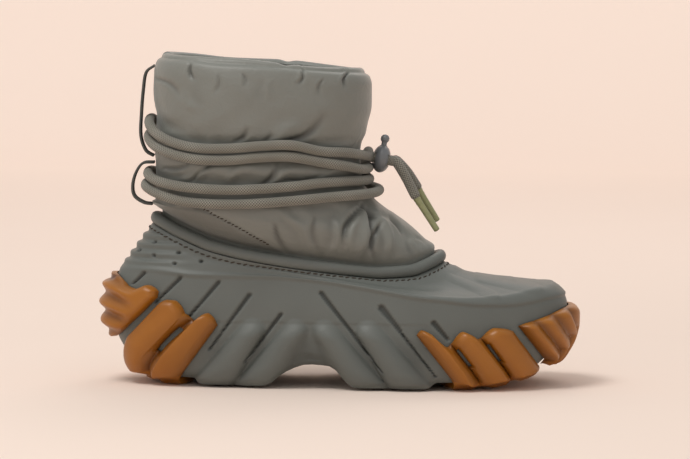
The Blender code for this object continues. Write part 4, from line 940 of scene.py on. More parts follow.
def pod_skin(share, rise, side, thickness):
    """Inner face just off the foam, and an outer face a thickness further out along the foam's normal."""
    point = side_point(share, rise, side)
    normal = outward(side_point, share, np.clip(rise, 0.02, 0.98), side)
    inner = point + normal * (GAP + POD_BOW * 0.6)
    outer = inner + normal * thickness[..., None]
    at_end = (share <= 0) | (share >= 1)
    for face in (outer, inner):
        face[..., 1] = np.where(at_end, point[..., 1], face[..., 1])
    return outer, inner


print("finger columns:", len(HEEL_FINGERS.rows), len(FOREFOOT_FINGERS.rows), len(TOE_FINGERS.rows))

# %% [markdown]
# Crests and valleys are the rows of the finger tables. A valley is a narrow crease, so the swell is a row
# of round arches between the valleys rather than a wave, and the slots are cells that are left out and
# walled.
# %% Treads
SIDE_STEPS = np.linspace(0, 0.9, 54)
FOOT_STEPS = np.linspace(0, 1, 6)[1:]
UNDER_STEPS = (0, 0.04, 0.08, 0.18, 0.30, 0.44, 0.48, 0.52, 0.56, 0.70, 0.82, 0.92, 0.96, 1.0)
# A slot between two fingers: its middle and half its length in steps down the side, and half its width in
# columns.
SLOT_MIDDLE, SLOT_REACH, SLOT_HALF = 0.36, 0.20, 0.30
VALLEY_DEPTH = 0.75


def arches(number, valleys, last, depth):
    """Round arches between valleys: 1 on each crest, and 1 less a depth in each valley."""
    stops = np.array((0, *valleys, last), float)
    cell = np.clip(np.searchsorted(stops, number, side="right") - 1, 0, len(stops) - 2)
    start, end = stops[cell], stops[cell + 1]
    f = (number - start) / (end - start)
    arc = np.clip(1 - (2 * f - 1) ** 2, 0, 1)
    round_over = np.sqrt(arc) ** 0.8
    crown = 0.42 + 0.58 * arc
    inner_start = np.where(cell > 0, 1.0, 0.0) * (f < 0.5)
    inner_end = np.where(cell < len(stops) - 2, 1.0, 0.0) * (f >= 0.5)
    return crown * (1 - depth * (1 - round_over) * np.maximum(inner_start, inner_end))


def tread_sheets(table, end, valleys, slots, valley_depth):
    """Both climbing sides of a tread and the lugs between their feet."""
    sheets, feet = [], []
    share, rise, number, x = pod_columns(table, end, SIDE_STEPS)
    foot_share, foot_rise, _, _ = pod_columns(table, end, (1.0,))
    last = len(table.rows) - 1
    crest = arches(number, valleys, last, valley_depth)
    for side in (-1, 1):
        sides = np.full_like(share, side)
        point = side_point(share, rise, sides)
        away = edge_distance(point)
        slot_away = np.full(share.shape, 1.0)
        hole = np.zeros(share.shape, bool)
        for slot_column in slots:
            across_slot = np.abs(number[None] - slot_column - 0.5)
            down_slot = np.abs(SIDE_STEPS[:, None] - SLOT_MIDDLE) / SLOT_REACH
            outside = np.maximum(across_slot - SLOT_HALF, (down_slot - 1) * 2.2)
            hole |= outside < 0
            slot_away = np.minimum(slot_away, np.clip(outside, 0, None) * 0.004)
        thickness = POD_FULL * crest[None] * rolled(away) * rolled(slot_away, 0.0022) + THINNEST
        outer, inner = pod_skin(share, rise, sides, thickness)
        ground = side_point(foot_share[0], foot_rise[0], sides[0])
        out = unit((outer[-1] - inner[-1]) * (1, 1, 0))
        foot_inner = ground + out * GAP * 1.5 - (0, 0, GAP)
        foot_outer = foot_inner + out * POD * 0.55 * crest[:, None] - (0, 0, TREAD - GROOVE)
        bend = FOOT_STEPS[:, None, None]
        swell = out[None] * (POD * 0.20 * np.sin(bend * math.pi))
        outer = np.concatenate((outer, outer[-1] * (1 - bend) + foot_outer * bend + swell))
        inner = np.concatenate((inner, inner[-1] * (1 - bend) + foot_inner * bend))
        # Painted shade: darker in the valleys between the fingers, none on the feet.
        shade = np.concatenate((np.broadcast_to((1 - crest)[None] / max(valley_depth, 0.01), share.shape),
                                np.zeros((len(FOOT_STEPS), share.shape[1]))))
        kept = every_cell(outer)
        solid = ~hole
        cells = solid[:-1, :-1] & solid[1:, :-1] & solid[:-1, 1:] & solid[1:, 1:]
        kept[:cells.shape[0]] = cells
        sheets.append((outer, inner, np.clip(shade, 0, 1) * 0.7, kept))
        feet.append((outer[-1], inner[-1]))
    way = np.linspace(0, 1, len(number))
    reach = WAIST_REACH * (way**2 if end == "heel" else -((1 - way) ** 2))
    lug = np.interp(x, table.rows[:, 0], table.column("lug"))
    steps = np.array(UNDER_STEPS)[None, :, None]
    outer, inner = (feet[0][face][:, None] * (1 - steps) + feet[1][face][:, None] * steps for face in (0, 1))
    bulge = reach[:, None] * np.sin(math.pi * steps[:, 1:-1, 0])
    outer[:, 1:-1, 0] += bulge
    inner[:, 1:-1, 0] += bulge
    level = tread_height(inner[:, 1:-1, 0]) - GAP - POD_BOW / 2
    inner[:, 1:-1, 2] = level
    outer[:, 1:-1, 2] = level - (GROOVE + (TREAD - GROOVE) * lug[:, None] - POD_BOW / 2)
    sheets.append((outer, inner, np.zeros(outer.shape[:2]), every_cell(outer)))
    return sheets


heel_sheets = tread_sheets(HEEL_FINGERS, "heel", (5.5,), (5,), VALLEY_DEPTH)
forefoot_sheets = tread_sheets(FOREFOOT_FINGERS, "", (5.0, 11.0), (5, 11), VALLEY_DEPTH)
put_skin("heel_tread", heel_sheets, RUBBER, ["heel_outsole"])
put_skin("forefoot_tread", forefoot_sheets, RUBBER, ["forefoot_outsole"])

# %% [markdown]
# The shield round the heel and the band round the toe have no tread under them. Their skins run right
# round the end of the shoe in one sheet, with soft ridges: level lobes at the heel and slanting ribs at
# the toe.
# %% Heel shield and toe band
SHIELD_ROWS = np.linspace(0, 1, 46)
SHIELD_COLUMNS = 84


def shield_floor(share):
    """Rise of the shield's low edge, a groove above the rear edge of the first finger."""
    row = HEEL_FINGERS.rows[0]
    line_share, line_rise = finger_lines([row[i:i + 1] for i in (0, 1, 2)], np.linspace(0, 1, 60))
    behind = line_share[0] > 0
    edge = np.interp(share, line_share[0][behind][::-1], line_rise[0][behind][::-1])
    return edge + POD_GROOVE / SHOULDER_HEIGHT


def heel_shield_sheet():
    """Sheet round the heel: high between the table's top edge and its floor, with two lobes each side."""
    girth = np.linspace(0, HEEL_POD.rows[-1, 0], SHIELD_COLUMNS)
    half = np.concatenate((-girth[:0:-1], girth))
    side = np.where(half < 0, -1.0, 1.0)
    share = share_at(np.abs(half) * LENGTH)
    x = side_point(share, np.full_like(share, MIDDLE_RISE), side)[:, 0]
    top = HEEL_POD.at("top", np.abs(half)) * SHOULDER_HEIGHT
    high = (top - tread_height(x)) / (shoulder_height(x) - tread_height(x))
    steps = SHIELD_ROWS[:, None]
    rise = high * (1 - steps) + shield_floor(share) * steps
    shares, sides = np.broadcast_to(share, rise.shape), np.broadcast_to(side, rise.shape)
    point = side_point(shares, rise, sides)
    away = edge_distance(point, bottom=True)
    x_mm, z_mm = point[..., 0] * 1000, point[..., 2] * 1000
    slant = (z_mm - 64.0) - 0.9 * (x_mm - 6.0)
    crease = np.exp(-(slant / 1.7) ** 2) * smooth_step(x_mm, 1.0, 6.0)
    ribs = 0.5 + 0.5 * np.cos((z_mm + 0.35 * x_mm) * math.tau / 10.5)
    ribs = 1 - (1 - ribs) * 0.55 * (1 - smooth_step(x_mm, 10, 26))
    thickness = POD_FULL * rolled(away) * ribs * (1 - 0.45 * crease) + THINNEST
    outer, inner = pod_skin(shares, rise, sides, thickness)
    # Painted shade in the slanting crease and in the dips between the lobes.
    shade = np.clip(crease * 0.55 + (1 - ribs) * 0.8, 0, 1)
    return outer, inner, shade, every_cell(outer)


def toe_band_sheet():
    """Sheet round the toe: both sides' finger columns joined at the front, with a ridge on each crest."""
    steps = np.linspace(0, 1, 46)
    share, rise, number, x = pod_columns(TOE_FINGERS, "toe", steps)
    count = share.shape[1]
    to_front = np.linspace(0, 1, 8)[1:][None]
    gap_share = share[:, -1:] + (1 - share[:, -1:]) * (1 - (1 - to_front) ** 2)
    gap_rise = np.broadcast_to(rise[:, -1:], gap_share.shape)
    half_share = np.concatenate((share, gap_share), 1)
    half_rise = np.concatenate((rise, gap_rise), 1)
    width = half_share.shape[1]
    shares = np.concatenate((half_share, half_share[:, -2::-1]), 1)
    rises = np.concatenate((half_rise, half_rise[:, -2::-1]), 1)
    sides = np.broadcast_to(np.concatenate((np.full(width, -1.0), np.full(width - 1, 1.0))), shares.shape)
    ridge = 0.5 - 0.5 * np.cos((number - 0.1) * math.tau / 2.0)
    ridge = np.concatenate((ridge, np.full(width - count, ridge[-1])))
    ridge = 1 - 0.48 * (1 - np.concatenate((ridge, ridge[-2::-1])) ** 0.7)
    point = side_point(shares, rises, sides)
    away = edge_distance(point, bottom=True)
    thickness = POD_FULL * rolled(away) * ridge[None] + THINNEST
    outer, inner = pod_skin(shares, rises, sides, thickness)
    # Painted shade in the dips between the ridges.
    shade = np.broadcast_to(((1 - ridge) * 1.3)[None], shares.shape)
    return outer, inner, np.clip(shade, 0, 1), every_cell(outer)


put_skin("heel_shield", [heel_shield_sheet()], RUBBER, ["heel_pod"])
put_skin("toe_band", [toe_band_sheet()], RUBBER, ["toe_pod"])

# %% [markdown]
# The ankle sleeve is padded nylon: smooth and tight over the wadding at the collar, pinched under the
# cord, and gathered in radiating folds over the instep. Cloth would fold where it likes, and here the
# folds have known places, so the rings of the sleeve are computed and the folds are laid on it as soft
# ridges and troughs.
# %% Rings of the sleeve
# First of the rings above the hem, and the first that belongs to the rolled collar.
FREE_RINGS = (3, 14)


def sleeve_rings(ring, share, side, wall=0.0):
    """Rings of the sleeve: the rim's curve and an oval, mixed by how far each ring follows the rim."""
    follow, spread_side, spread_ends, lift, rear, front, half, height, heel = (
        SHAFT.at(name, ring)[:, None] for name in SHAFT.names[1:])
    share, side = share[None], side[None]
    ends = rim_point(share, side, spread_ends * RIM_WIDTH - wall, lift * RIM_WIDTH)
    wide = rim_point(share, side, spread_side * RIM_WIDTH - wall, lift * RIM_WIDTH)
    ends[..., 1] = wide[..., 1]
    x = (rear + share * (front - rear)) * LENGTH + wall * (1 - 2 * share)
    y = side * (half * COLLAR_WIDTH - wall) * closing(share, OVAL)
    raised = heel * COLLAR_HEIGHT * np.clip(1 - share / 0.35, 0, 1) ** 2
    z = height * COLLAR_HEIGHT + raised + COLLAR_SLOPE * (1 - 2 * share) * smooth_step(height, 0.8, 1.0)
    free = np.stack((x, y, z), -1)
    return ends * follow[..., None] + free * (1 - follow[..., None])


def shaft_face(share, side, height):
    """Point of the shaft's outer face at a height, and its horizontal outward direction."""
    values = np.array((share - 0.004, share, share + 0.004)).clip(0, 1)
    sides = np.full(3, float(side))
    rows = sleeve_rings(np.arange(*FREE_RINGS), values, sides)
    line = [[np.interp(height, rows[:, i, 2], rows[:, i, axis]) for axis in (0, 1)] for i in range(3)]
    run = np.array(line[2]) - np.array(line[0])
    out = np.array((run[1], -run[0])) * -side
    return np.array((*line[1], height)), np.array((*out, 0)) / np.linalg.norm(out)


# %% [markdown]
# Each fold is a line in the side view with a width at each end and a height: positive for a ridge of
# wadding, negative for a crease. The inner side of the ankle has its own folds, so the two sides differ
# as real ones do.
# %% Folds
def px(*numbers):
    """Turns pairs of picture places into millimetres along and above the floor."""
    pairs = np.array(numbers, float).reshape(-1, 2)
    x = (pairs[:, 0] - 301.5) * 1.136
    z = (380 - pairs[:, 1]) * 1.136 - 1.2 - np.clip(225 - x, 0, None) * 0.0082
    return np.stack((x, z), -1).ravel()


OUTER_FOLDS = (
    (402, 240, 425, 226, 2, 4, -1.7), (398, 242, 412, 231, 5, 7, 1.2), (376, 240, 383, 233, 1.5, 3, -1.3),
    (392, 243, 397, 236, 1.2, 2.6, -1.1), (428, 243, 447, 238, 3, 4, 0.9), (352, 222, 346, 212, 4, 6, 0.7),
    (336, 256, 352, 250, 1.4, 2.2, -1.3), (352, 262, 372, 251, 1.6, 3, -1.7),
    (345, 262, 360, 252, 3, 4, 1.2), (372, 262, 388, 252, 3.2, 5, 1.3), (388, 266, 400, 250, 1.8, 3.2, -2),
    (396, 266, 412, 254, 3.6, 5, 1.4), (404, 262, 432, 252, 1.6, 2.6, -1.2),
    (420, 262, 440, 256, 3, 4, 0.9), (398, 287, 408, 304, 1.8, 3.2, -1.6),
    (405, 282, 418, 302, 3, 5.5, 1.1), (420, 283, 424, 304, 2.2, 3.4, -1.2),
    (432, 284, 428, 306, 2.6, 4.2, 1.4), (447, 277, 436, 297, 1.8, 2.8, -2),
    (450, 280, 447, 306, 1.8, 3.6, -2.2), (444, 284, 441, 304, 3, 4.6, 1.7),
    (455, 282, 462, 307, 2.6, 4.4, 1.9), (457, 287, 454, 308, 1.6, 2.4, -1.9),
    (463, 285, 474, 305, 2, 3, -1.7), (470, 290, 482, 304, 2, 3.4, 1.3), (478, 296, 486, 304, 1.4, 2, -1.2),
    (446, 276, 460, 284, 1.5, 2.5, -1.5), (420, 272, 438, 278, 4, 5, 1.2),
    (350, 198, 352, 206, 1, 2.2, -1.8), (413, 201, 411, 208, 1, 2, -1.5),
    (438, 202, 436, 210, 1, 2.2, -1.8), (380, 203, 381, 209, 1, 1.8, -0.9), (394, 207, 396, 216, 3, 5, 0.6),
    (366, 204, 364, 213, 1, 1.8, -0.8), (424, 206, 422, 214, 1, 2, -0.8),
    (330, 206, 345, 216, 1.6, 3, -0.9),
)
INNER_FOLDS = (
    (372, 240, 352, 226, 2, 4, -1.6), (410, 241, 432, 229, 2, 4, -1.6), (392, 242, 388, 232, 1.4, 3, -1.2),
    (352, 262, 372, 251, 1.6, 3, -1.6), (360, 262, 380, 252, 3, 4, 1.2),
    (404, 264, 420, 250, 1.8, 3.2, -1.8), (415, 265, 434, 254, 3, 4.6, 1.3),
    (408, 284, 400, 303, 1.8, 3.2, -1.5), (430, 283, 422, 303, 2.6, 4.6, 1.2),
    (447, 278, 434, 300, 1.8, 3, -1.9), (452, 280, 452, 306, 1.8, 3.4, -2),
    (448, 284, 444, 305, 3, 4.6, 1.6), (458, 283, 468, 306, 2.4, 4.4, 1.7),
    (466, 287, 478, 304, 1.6, 2.6, -1.5), (356, 198, 357, 206, 1, 2, -1.4),
    (398, 203, 399, 210, 1, 2, -1.2), (428, 203, 429, 210, 1, 2.2, -1.5), (376, 280, 372, 292, 2.4, 4, 0.8),
)
SHAFT_HALF = 200
SHAFT_RINGS = np.concatenate((np.linspace(0, 2, 10), np.linspace(2, 14, 190)[1:]))
LINING_STEPS = np.linspace(14, 0, 40)
# Heights of the cord's four turns in metres, and of the three level bellows in millimetres.
CORD_LEVELS = (0.152, 0.1448, 0.1275, 0.1185)
BELLOWS = (136.0, 112.0, 160.5)
# Ends of the rear panel's slanting seam and of the slope over the instep, along and above the floor in
# millimetres.
PANEL_SEAM = ((63.0, 117.6), (114.2, 84.3))
INSTEP_SLOPE = ((88.6, 120.1), (210.7, 171.8))
FOLD_BOW = 0.14
TALLEST = 2.6


def fold(x, z, line, bow):
    """A crease with a swell beside it, along a line that bows sideways and fades towards both ends."""
    x1, z1, x2, z2, start, end = line
    run = np.array((x2 - x1, z2 - z1))
    length = np.hypot(*run)
    along = ((x - x1) * run[0] + (z - z1) * run[1]) / length**2
    f = np.clip(along, 0, 1)
    away = ((x - x1) * run[1] - (z - z1) * run[0]) / length - bow * length * np.sin(f * math.pi)
    width = (start + (end - start) * f) * 0.75
    past = np.clip(np.abs(along - 0.5) - 0.5, 0, None) * length
    fade = smooth_step(along, -0.30, 0.18) * (1 - smooth_step(along, 0.45, 1.25)) * np.exp(-(past / 4.0) ** 2)
    crease = np.exp(-(away / width) ** 2)
    swell = np.exp(-((away - 1.6 * width) / (1.5 * width)) ** 2)
    return (1.25 * crease - 0.45 * swell) * fade


def straighten(rings, inset):
    """Moves the front of each ring back onto a straight slope over the instep, set in by a wall."""
    ring_x, ring_z = rings[..., 0] * 1000, rings[..., 2] * 1000
    foremost = ring_x.argmax(1)
    row = np.arange(len(rings))
    front_x, front_z = ring_x[row, foremost], ring_z[row, foremost]
    slope_x = np.interp(front_z, *INSTEP_SLOPE) - inset * 1000
    excess = np.clip(front_x - slope_x, 0, 7.5) * smooth_step(front_z, 87, 93)
    excess = excess * (1 - smooth_step(front_z, 112, 120))
    reach = np.clip((ring_x - 135) / (front_x[:, None] - 135), 0, 1) ** 2
    moved = rings.copy()
    moved[..., 0] -= excess[:, None] * reach / 1000
    return moved


def grid_normals(point):
    """Outward unit normals of a closed stack of rings, from the differences between neighbours."""
    wrapped = np.concatenate((point[:, -2:-1], point, point[:, 1:2]), 1)
    run = wrapped[:, 2:] - wrapped[:, :-2]
    rise = np.gradient(point, axis=0)
    normal = np.cross(run, rise)
    normal /= np.linalg.norm(normal, axis=-1, keepdims=True) + 1e-12
    centre = point.mean(1, keepdims=True)
    facing = np.sign(np.median(((point - centre) * normal).sum(-1)))
    return normal * facing


def rumple(x, y, z):
    """Small unevenness of the wadding: a few crossing sine waves of different lengths."""
    return (np.sin(x * 210 + 2.1 * np.sin(z * 130)) * np.sin(z * 150 + 1.3) * 0.40
            + np.sin(x * 95 - z * 120 + 3.0 * np.sin(y * 40)) * 0.45
            + np.sin(z * 260 + x * 60 + y * 45) * 0.2)


turn = np.cos(np.linspace(0, math.pi, SHAFT_HALF))
sleeve_half = 0.5 - 0.5 * np.sign(turn) * np.abs(turn) ** (2 / OVAL)
sleeve_share, sleeve_side = closed_ring(sleeve_half)
sleeve = straighten(sleeve_rings(SHAFT_RINGS, sleeve_share, sleeve_side), 0)
sleeve_normal = grid_normals(sleeve)
side_x, side_z = sleeve[..., 0] * 1000, sleeve[..., 2] * 1000
flank = smooth_step(np.abs(sleeve[..., 1]), 0.004, 0.020)
folds = np.zeros(side_x.shape)
for table, side in ((OUTER_FOLDS, -1), (INNER_FOLDS, 1)):
    here = (sleeve_side[None] == side) * flank
    for number, (*line, start, end, height) in enumerate(table):
        folds += height * fold(side_x, side_z, (*px(*line), start, end), FOLD_BOW * (-1) ** number) * here
panel_line = np.interp(side_x, *PANEL_SEAM)
in_panel = smooth_step(panel_line - side_z, 0.0, 0.8) * (side_x < 122)
smooth_back = 1 - 0.85 * in_panel
vamp = smooth_step(side_x, 120, 165) * (1 - smooth_step(side_z, 112, 120))
puff = 0.55 + 0.55 * vamp
pinch = np.zeros(side_x.shape)
for level in CORD_LEVELS:
    pinch = np.maximum(pinch, np.exp(-((side_z / 1000 - level) / 0.0045) ** 2))
above_hem = smooth_step(SHAFT_RINGS, 2.2, 3.2)[:, None]
way_round = (np.arange(len(sleeve_share)) / len(sleeve_share) * math.tau)[None]
gathers = np.zeros(side_x.shape)
for number, level in enumerate(CORD_LEVELS):
    below = level - side_z / 1000
    drift = below * (9.0 * np.sin(way_round * 3 + number * 2))
    wander = way_round + 0.10 * np.sin(way_round * 5 + number) + drift
    wave = np.sin(wander * 19 + 1.7 * number) * (0.6 + 0.4 * np.sin(way_round * 7 + number))
    gathers += wave * np.exp(-(below / 0.0075) ** 2)
gathers *= smooth_step(np.abs(side_x - 117), 0, 1) * 0.75
bellows = sum(np.exp(-((side_z - level) / 3.0) ** 2) for level in BELLOWS)
relief = folds * (1 - 0.6 * pinch) + rumple(*np.moveaxis(sleeve, -1, 0)) * puff * (1 - pinch)
relief = (relief + gathers * (1 - 0.5 * pinch) + 0.5 * bellows) * smooth_back
relief = relief - 0.8 * np.exp(-((side_z - panel_line) / 1.1) ** 2) * (side_x < 121) * (side_x > 58)
relief = np.minimum(relief, TALLEST - 1.9 * pinch) * above_hem
sleeve_out = sleeve + sleeve_normal * (relief / 1000)[..., None]
lining = straighten(sleeve_rings(LINING_STEPS, sleeve_share, sleeve_side, SHAFT_WALL), SHAFT_WALL)
roll = (np.linspace(0, math.pi, 9)[1:-1])[:, None, None]
collar_roll = (sleeve_out[-1] + lining[0])[None] / 2 + (sleeve_out[-1] - lining[0])[None] / 2 * np.cos(roll)
collar_roll = collar_roll + np.array((0, 0, 1.0)) * np.sin(roll) * 0.0030
dip = 0.0012 * np.exp(-((sleeve_share - 0.62) / 0.03) ** 2)
bunch = 0.0006 * np.sin(sleeve_share * 9 + sleeve_side * 2) - dip
collar_roll[..., 2] += bunch[None] * np.sin(roll[..., 0])
turned = np.concatenate((sleeve_out, collar_roll, lining, sleeve_out[:1]))
girth = np.linspace(0, 0.30, turned.shape[1])[None] * np.ones((len(turned), 1))
climb = np.concatenate(((0,), np.cumsum(np.linalg.norm(np.diff(turned, axis=0), axis=2).mean(1))))[:, None]
cloth_uv = np.stack((girth, np.broadcast_to(climb, girth.shape)), -1)
# Painted shade in the folds' creases; the rear panel's share is the panel's own darker tone.
crease = np.maximum(np.clip(-folds / 2.2, 0, 1) * 0.8, 0.34 * in_panel)
sleeve_shade_and_panel_tone = np.concatenate((crease, np.zeros((len(turned) - len(crease), turned.shape[1]))))
print("sleeve folds:", len(OUTER_FOLDS), "outer,", len(INNER_FOLDS), "inner")

# %% [markdown]
# Down-proof nylon is a tight plain weave with a soft shine. Its threads are finer than a pixel, so they
# show only as a slight grain that runs up and round the ankle; small crinkles between the folds catch the
# light.
# %% Nylon finish
def nylon_finish():
    material, tree, surface, place = plain_finish(
        "padded_nylon", 0.46, Sheen_Weight=0.25, Sheen_Roughness=0.4, Specular_IOR_Level=0.55)
    uv = node(tree, "UVMap", set_uv_map="surface").outputs["UV"]
    tone = mix(tree, noise(tree, place, 24.0, 4.0), (0.176, 0.180, 0.160), (0.216, 0.220, 0.196))
    # Painted shade in the creases and the rear panel's darker tone, both from the mesh's attribute.
    feed(surface, "Base Color", painted_shade_tone(tree, tone, (0.050, 0.050, 0.043)))
    warp, weft = (noise(tree, node(tree, "Mapping", Vector=uv, Scale=scale).outputs["Vector"], 1.0, 1.0)
                  for scale in ((2600.0, 420.0, 1.0), (420.0, 2600.0, 1.0)))
    weave = maths(tree, "ADD", warp, weft)
    crinkle = noise(tree, place, 130.0, 3.0, Roughness=0.6, Distortion=0.6)
    low = node(tree, "Bump", Height=crinkle, Strength=0.35, Distance=0.0012)
    emboss(surface, weave, 0.25, 0.00012, Normal=low.outputs["Normal"])
    feed(surface, "Roughness", remap(tree, weave, 0.6, 1.4, 0.40, 0.54))
    return material


NYLON = nylon_finish()
cloth = (turned, cloth_uv, sleeve_shade_and_panel_tone)
padded_sleeve = put("padded_sleeve", [cloth], NYLON, ["shaft"], angle=180)

# %% [markdown]
# The lower back of the sleeve is a flat panel, joined to the puffed nylon by a slanting seam with a slant
# stitch. The stitches sit on the sleeve's own points: a line across its rings, found where the seam's
# height meets them.
# %% Panel seam
HEM_ROWS = 17
for side, name in ((-1, "outer"), (1, "inner")):
    column = np.flatnonzero((sleeve_side == side) & (sleeve_share > 0.10) & (sleeve_share < 0.9))
    column = column[np.argsort(sleeve_share[column])]
    gap = (sleeve_out[..., 2] * 1000 - panel_line)[:, column]
    gap[:HEM_ROWS] = -99
    row = np.argmax(gap > 0, axis=0)
    points = sleeve_out[row, column]
    normals = sleeve_normal[row, column]
    good = (points[:, 0] > 0.064) & (points[:, 0] < 0.116) & (row > HEM_ROWS)
    line = points[good]
    line = line + normals[good] * 0.0003
    put_stitches(f"panel_stitches_{name}", line, normals[good], 0.0026, 0.0024, 0.00042, 0.8, 0.35)

# %% [markdown]
# One round braided cord goes four times round the ankle and through both webbing loops. Its route is a
# list of places on the sleeve, and a smooth curve goes through them, so the cord lies on the cloth all
# the way round.
# %% Route of the cord
OUTER, INNER_SIDE = -1, 1
# Runs of the cord, side by side: share of the way from the back to the front, height and stand-off in mm.
DRAWCORD_ROUTE = (
    (OUTER, (
        (0.985, 146.8, 0), (0.95, 148.2, 0), (0.9, 149.5, 0), (0.79, 150.6, 0), (0.66, 154.5, 0),
        (0.52, 154, 0), (0.38, 152.3, 0), (0.24, 152, 0), (0.13, 154.5, 0), (0.05, 159.8, 1.2),
        (0.012, 166, 1.2),
    )),
    (INNER_SIDE, (
        (0.012, 168.5, 1.2), (0.05, 163, 1.2), (0.13, 156, 0), (0.24, 153, 0), (0.38, 153, 0),
        (0.52, 154.5, 0), (0.66, 154, 0), (0.79, 151, 0), (0.9, 145.5, 0), (0.97, 140.2, 0),
    )),
    (OUTER, (
        (1, 138.4, 0), (0.97, 138.4, 0), (0.9, 141, 0), (0.79, 143.9, 0), (0.66, 147.2, 0),
        (0.52, 146.9, 0), (0.38, 145, 0), (0.24, 144.8, 0), (0.13, 147.3, 0), (0.05, 151.8, 1.2),
        (0.012, 157, 1.2),
    )),
    (INNER_SIDE, (
        (0.012, 159, 1.2), (0.05, 154.5, 1.2), (0.13, 148.5, 0), (0.24, 145.7, 0), (0.38, 145.5, 0),
        (0.52, 147, 0), (0.66, 146.5, 0), (0.79, 143.5, 0), (0.9, 137.6, 0), (0.97, 132.4, 0),
    )),
    (OUTER, (
        (1, 131.1, 0), (0.97, 131, 0), (0.9, 131.2, 0), (0.79, 130.6, 0), (0.66, 128.6, 0),
        (0.52, 127.1, 0), (0.38, 126.1, 0), (0.24, 126.5, 0), (0.13, 127.8, 0), (0.05, 130.3, 1.2),
        (0.012, 133.5, 1.2),
    )),
    (INNER_SIDE, (
        (0.012, 134.5, 1.2), (0.05, 132.5, 1.2), (0.13, 129, 0), (0.24, 127.3, 0), (0.38, 127, 0),
        (0.52, 127.5, 0), (0.66, 128.3, 0), (0.79, 128.7, 0), (0.9, 127.6, 0.5), (0.97, 125.2, 1.8),
    )),
    (OUTER, (
        (1, 124.2, 2.6), (0.97, 123.3, 2.8), (0.9, 122.6, 1.8), (0.79, 121.6, 0), (0.66, 120, 0),
        (0.52, 118.4, 0), (0.38, 117.2, 0), (0.24, 117.2, 0), (0.13, 118.7, 0), (0.05, 122.6, 1.7),
        (0.012, 126, 2.7),
    )),
    (INNER_SIDE, (
        (0.012, 126.8, 2.7), (0.05, 124.5, 1.7), (0.13, 120.3, 0), (0.24, 118.5, 0), (0.38, 118.2, 0),
        (0.52, 118.6, 0), (0.66, 119.6, 0.3), (0.76, 122.8, 5.5), (0.84, 129.5, 7.6), (0.9, 136.5, 8),
        (0.945, 143.3, 7.6), (0.975, 147.8, 4.5),
    )),
)
LOCK_CENTRE = (0.1771, 0.0, 0.1440)
STRAND_GAP = 0.0071
# Where a strand leaves the lock in front and behind.
LOCK_RUN = (LOCK_DEPTH / 2 - 0.001, -LOCK_DEPTH / 2 - 0.001)


def smooth_curve(points, steps=12):
    """Fine points of a smooth curve through the given ones."""
    points = np.array(points)
    ends = np.concatenate((2 * points[:1] - points[1:2], points, 2 * points[-1:] - points[-2:-1]))
    f = np.linspace(0, 1, steps, endpoint=False)[:, None]
    fine = []
    for a, b, c, d in zip(ends, ends[1:], ends[2:], ends[3:]):
        bend, twist = 2 * a - 5 * b + 4 * c - d, 3 * b - a - 3 * c + d
        fine.append(0.5 * (2 * b + (c - a) * f + bend * f**2 + twist * f**3))
    return np.concatenate(fine + [points[-1:]])


def in_lock(forward, sideways, up):
    """Place given in the lock's own leaning directions."""
    lean = Matrix.Rotation(LOCK_LEAN, 3, "Y")
    return Vector(LOCK_CENTRE) + lean @ Vector((forward, sideways, up))


CORD_ENDS = {
    "a": ((187.0, -3.9, 141.8), (192.8, -4.6, 132.6), (197.6, -5.4, 123.4), (200.2, -5.9, 118.6)),
    "b": ((187.2, 3.9, 142.6), (193.8, 4.5, 135.6), (199.2, 5.0, 127.6), (201.6, 5.2, 123.6)),
}
TIP_ENDS = {"a": (213.1, -7.4, 98.9), "b": (213.6, 6.0, 104.2)}


def evenly(curve, spacing):
    """Points at even spacing along a curve."""
    length = distances(curve)
    return read_at(curve, length, np.linspace(0, length[-1], int(round(length[-1] / spacing)) + 1))


# %% [markdown]
# A braid is two sets of strands that cross as they wind round the cord. On the tube's own coordinates,
# length and turn, each set is a slanting wave; the higher of the two waves at each place gives the raised
# strand.
# %% Braid finish
def surface_axes(tree):
    """The mesh's own coordinates: length along the surface, and place across it or round it."""
    split = node(tree, "SeparateXYZ", Vector=node(tree, "UVMap", set_uv_map="surface").outputs["UV"])
    return split.outputs["X"], split.outputs["Y"]


def braid_finish():
    material, tree, surface, _ = plain_finish("braided_cord", 0.78, Sheen_Weight=0.2)
    along, turn = surface_axes(tree)
    far = maths(tree, "MULTIPLY", along, math.tau * 560.0)
    waves = [maths(tree, "SINE", maths(tree, "MULTIPLY_ADD", turn, twist * math.tau * 10.0, far))
             for twist in (-1.0, 1.0)]
    lift = remap(tree, maths(tree, "MAXIMUM", *waves), -0.6, 1.0, 0.0, 1.0)
    row = maths(tree, "SINE", maths(tree, "MULTIPLY_ADD", along, math.tau * 34.0, turn))
    both = maths(tree, "MULTIPLY_ADD", row, 0.45, maths(tree, "MINIMUM", *waves))
    fleck = remap(tree, both, 0.70, 1.0, 0.0, 1.0)
    # Painted shade: the strands are darker where they lie low under the raised ones; the pale flecks are the
    # cord's own.
    tone = mix(tree, lift, (0.086, 0.082, 0.067), (0.262, 0.248, 0.205))
    feed(surface, "Base Color", mix(tree, fleck, tone, (0.40, 0.38, 0.32)))
    emboss(surface, lift, 0.8, 0.0005)
    return material


BRAID = braid_finish()

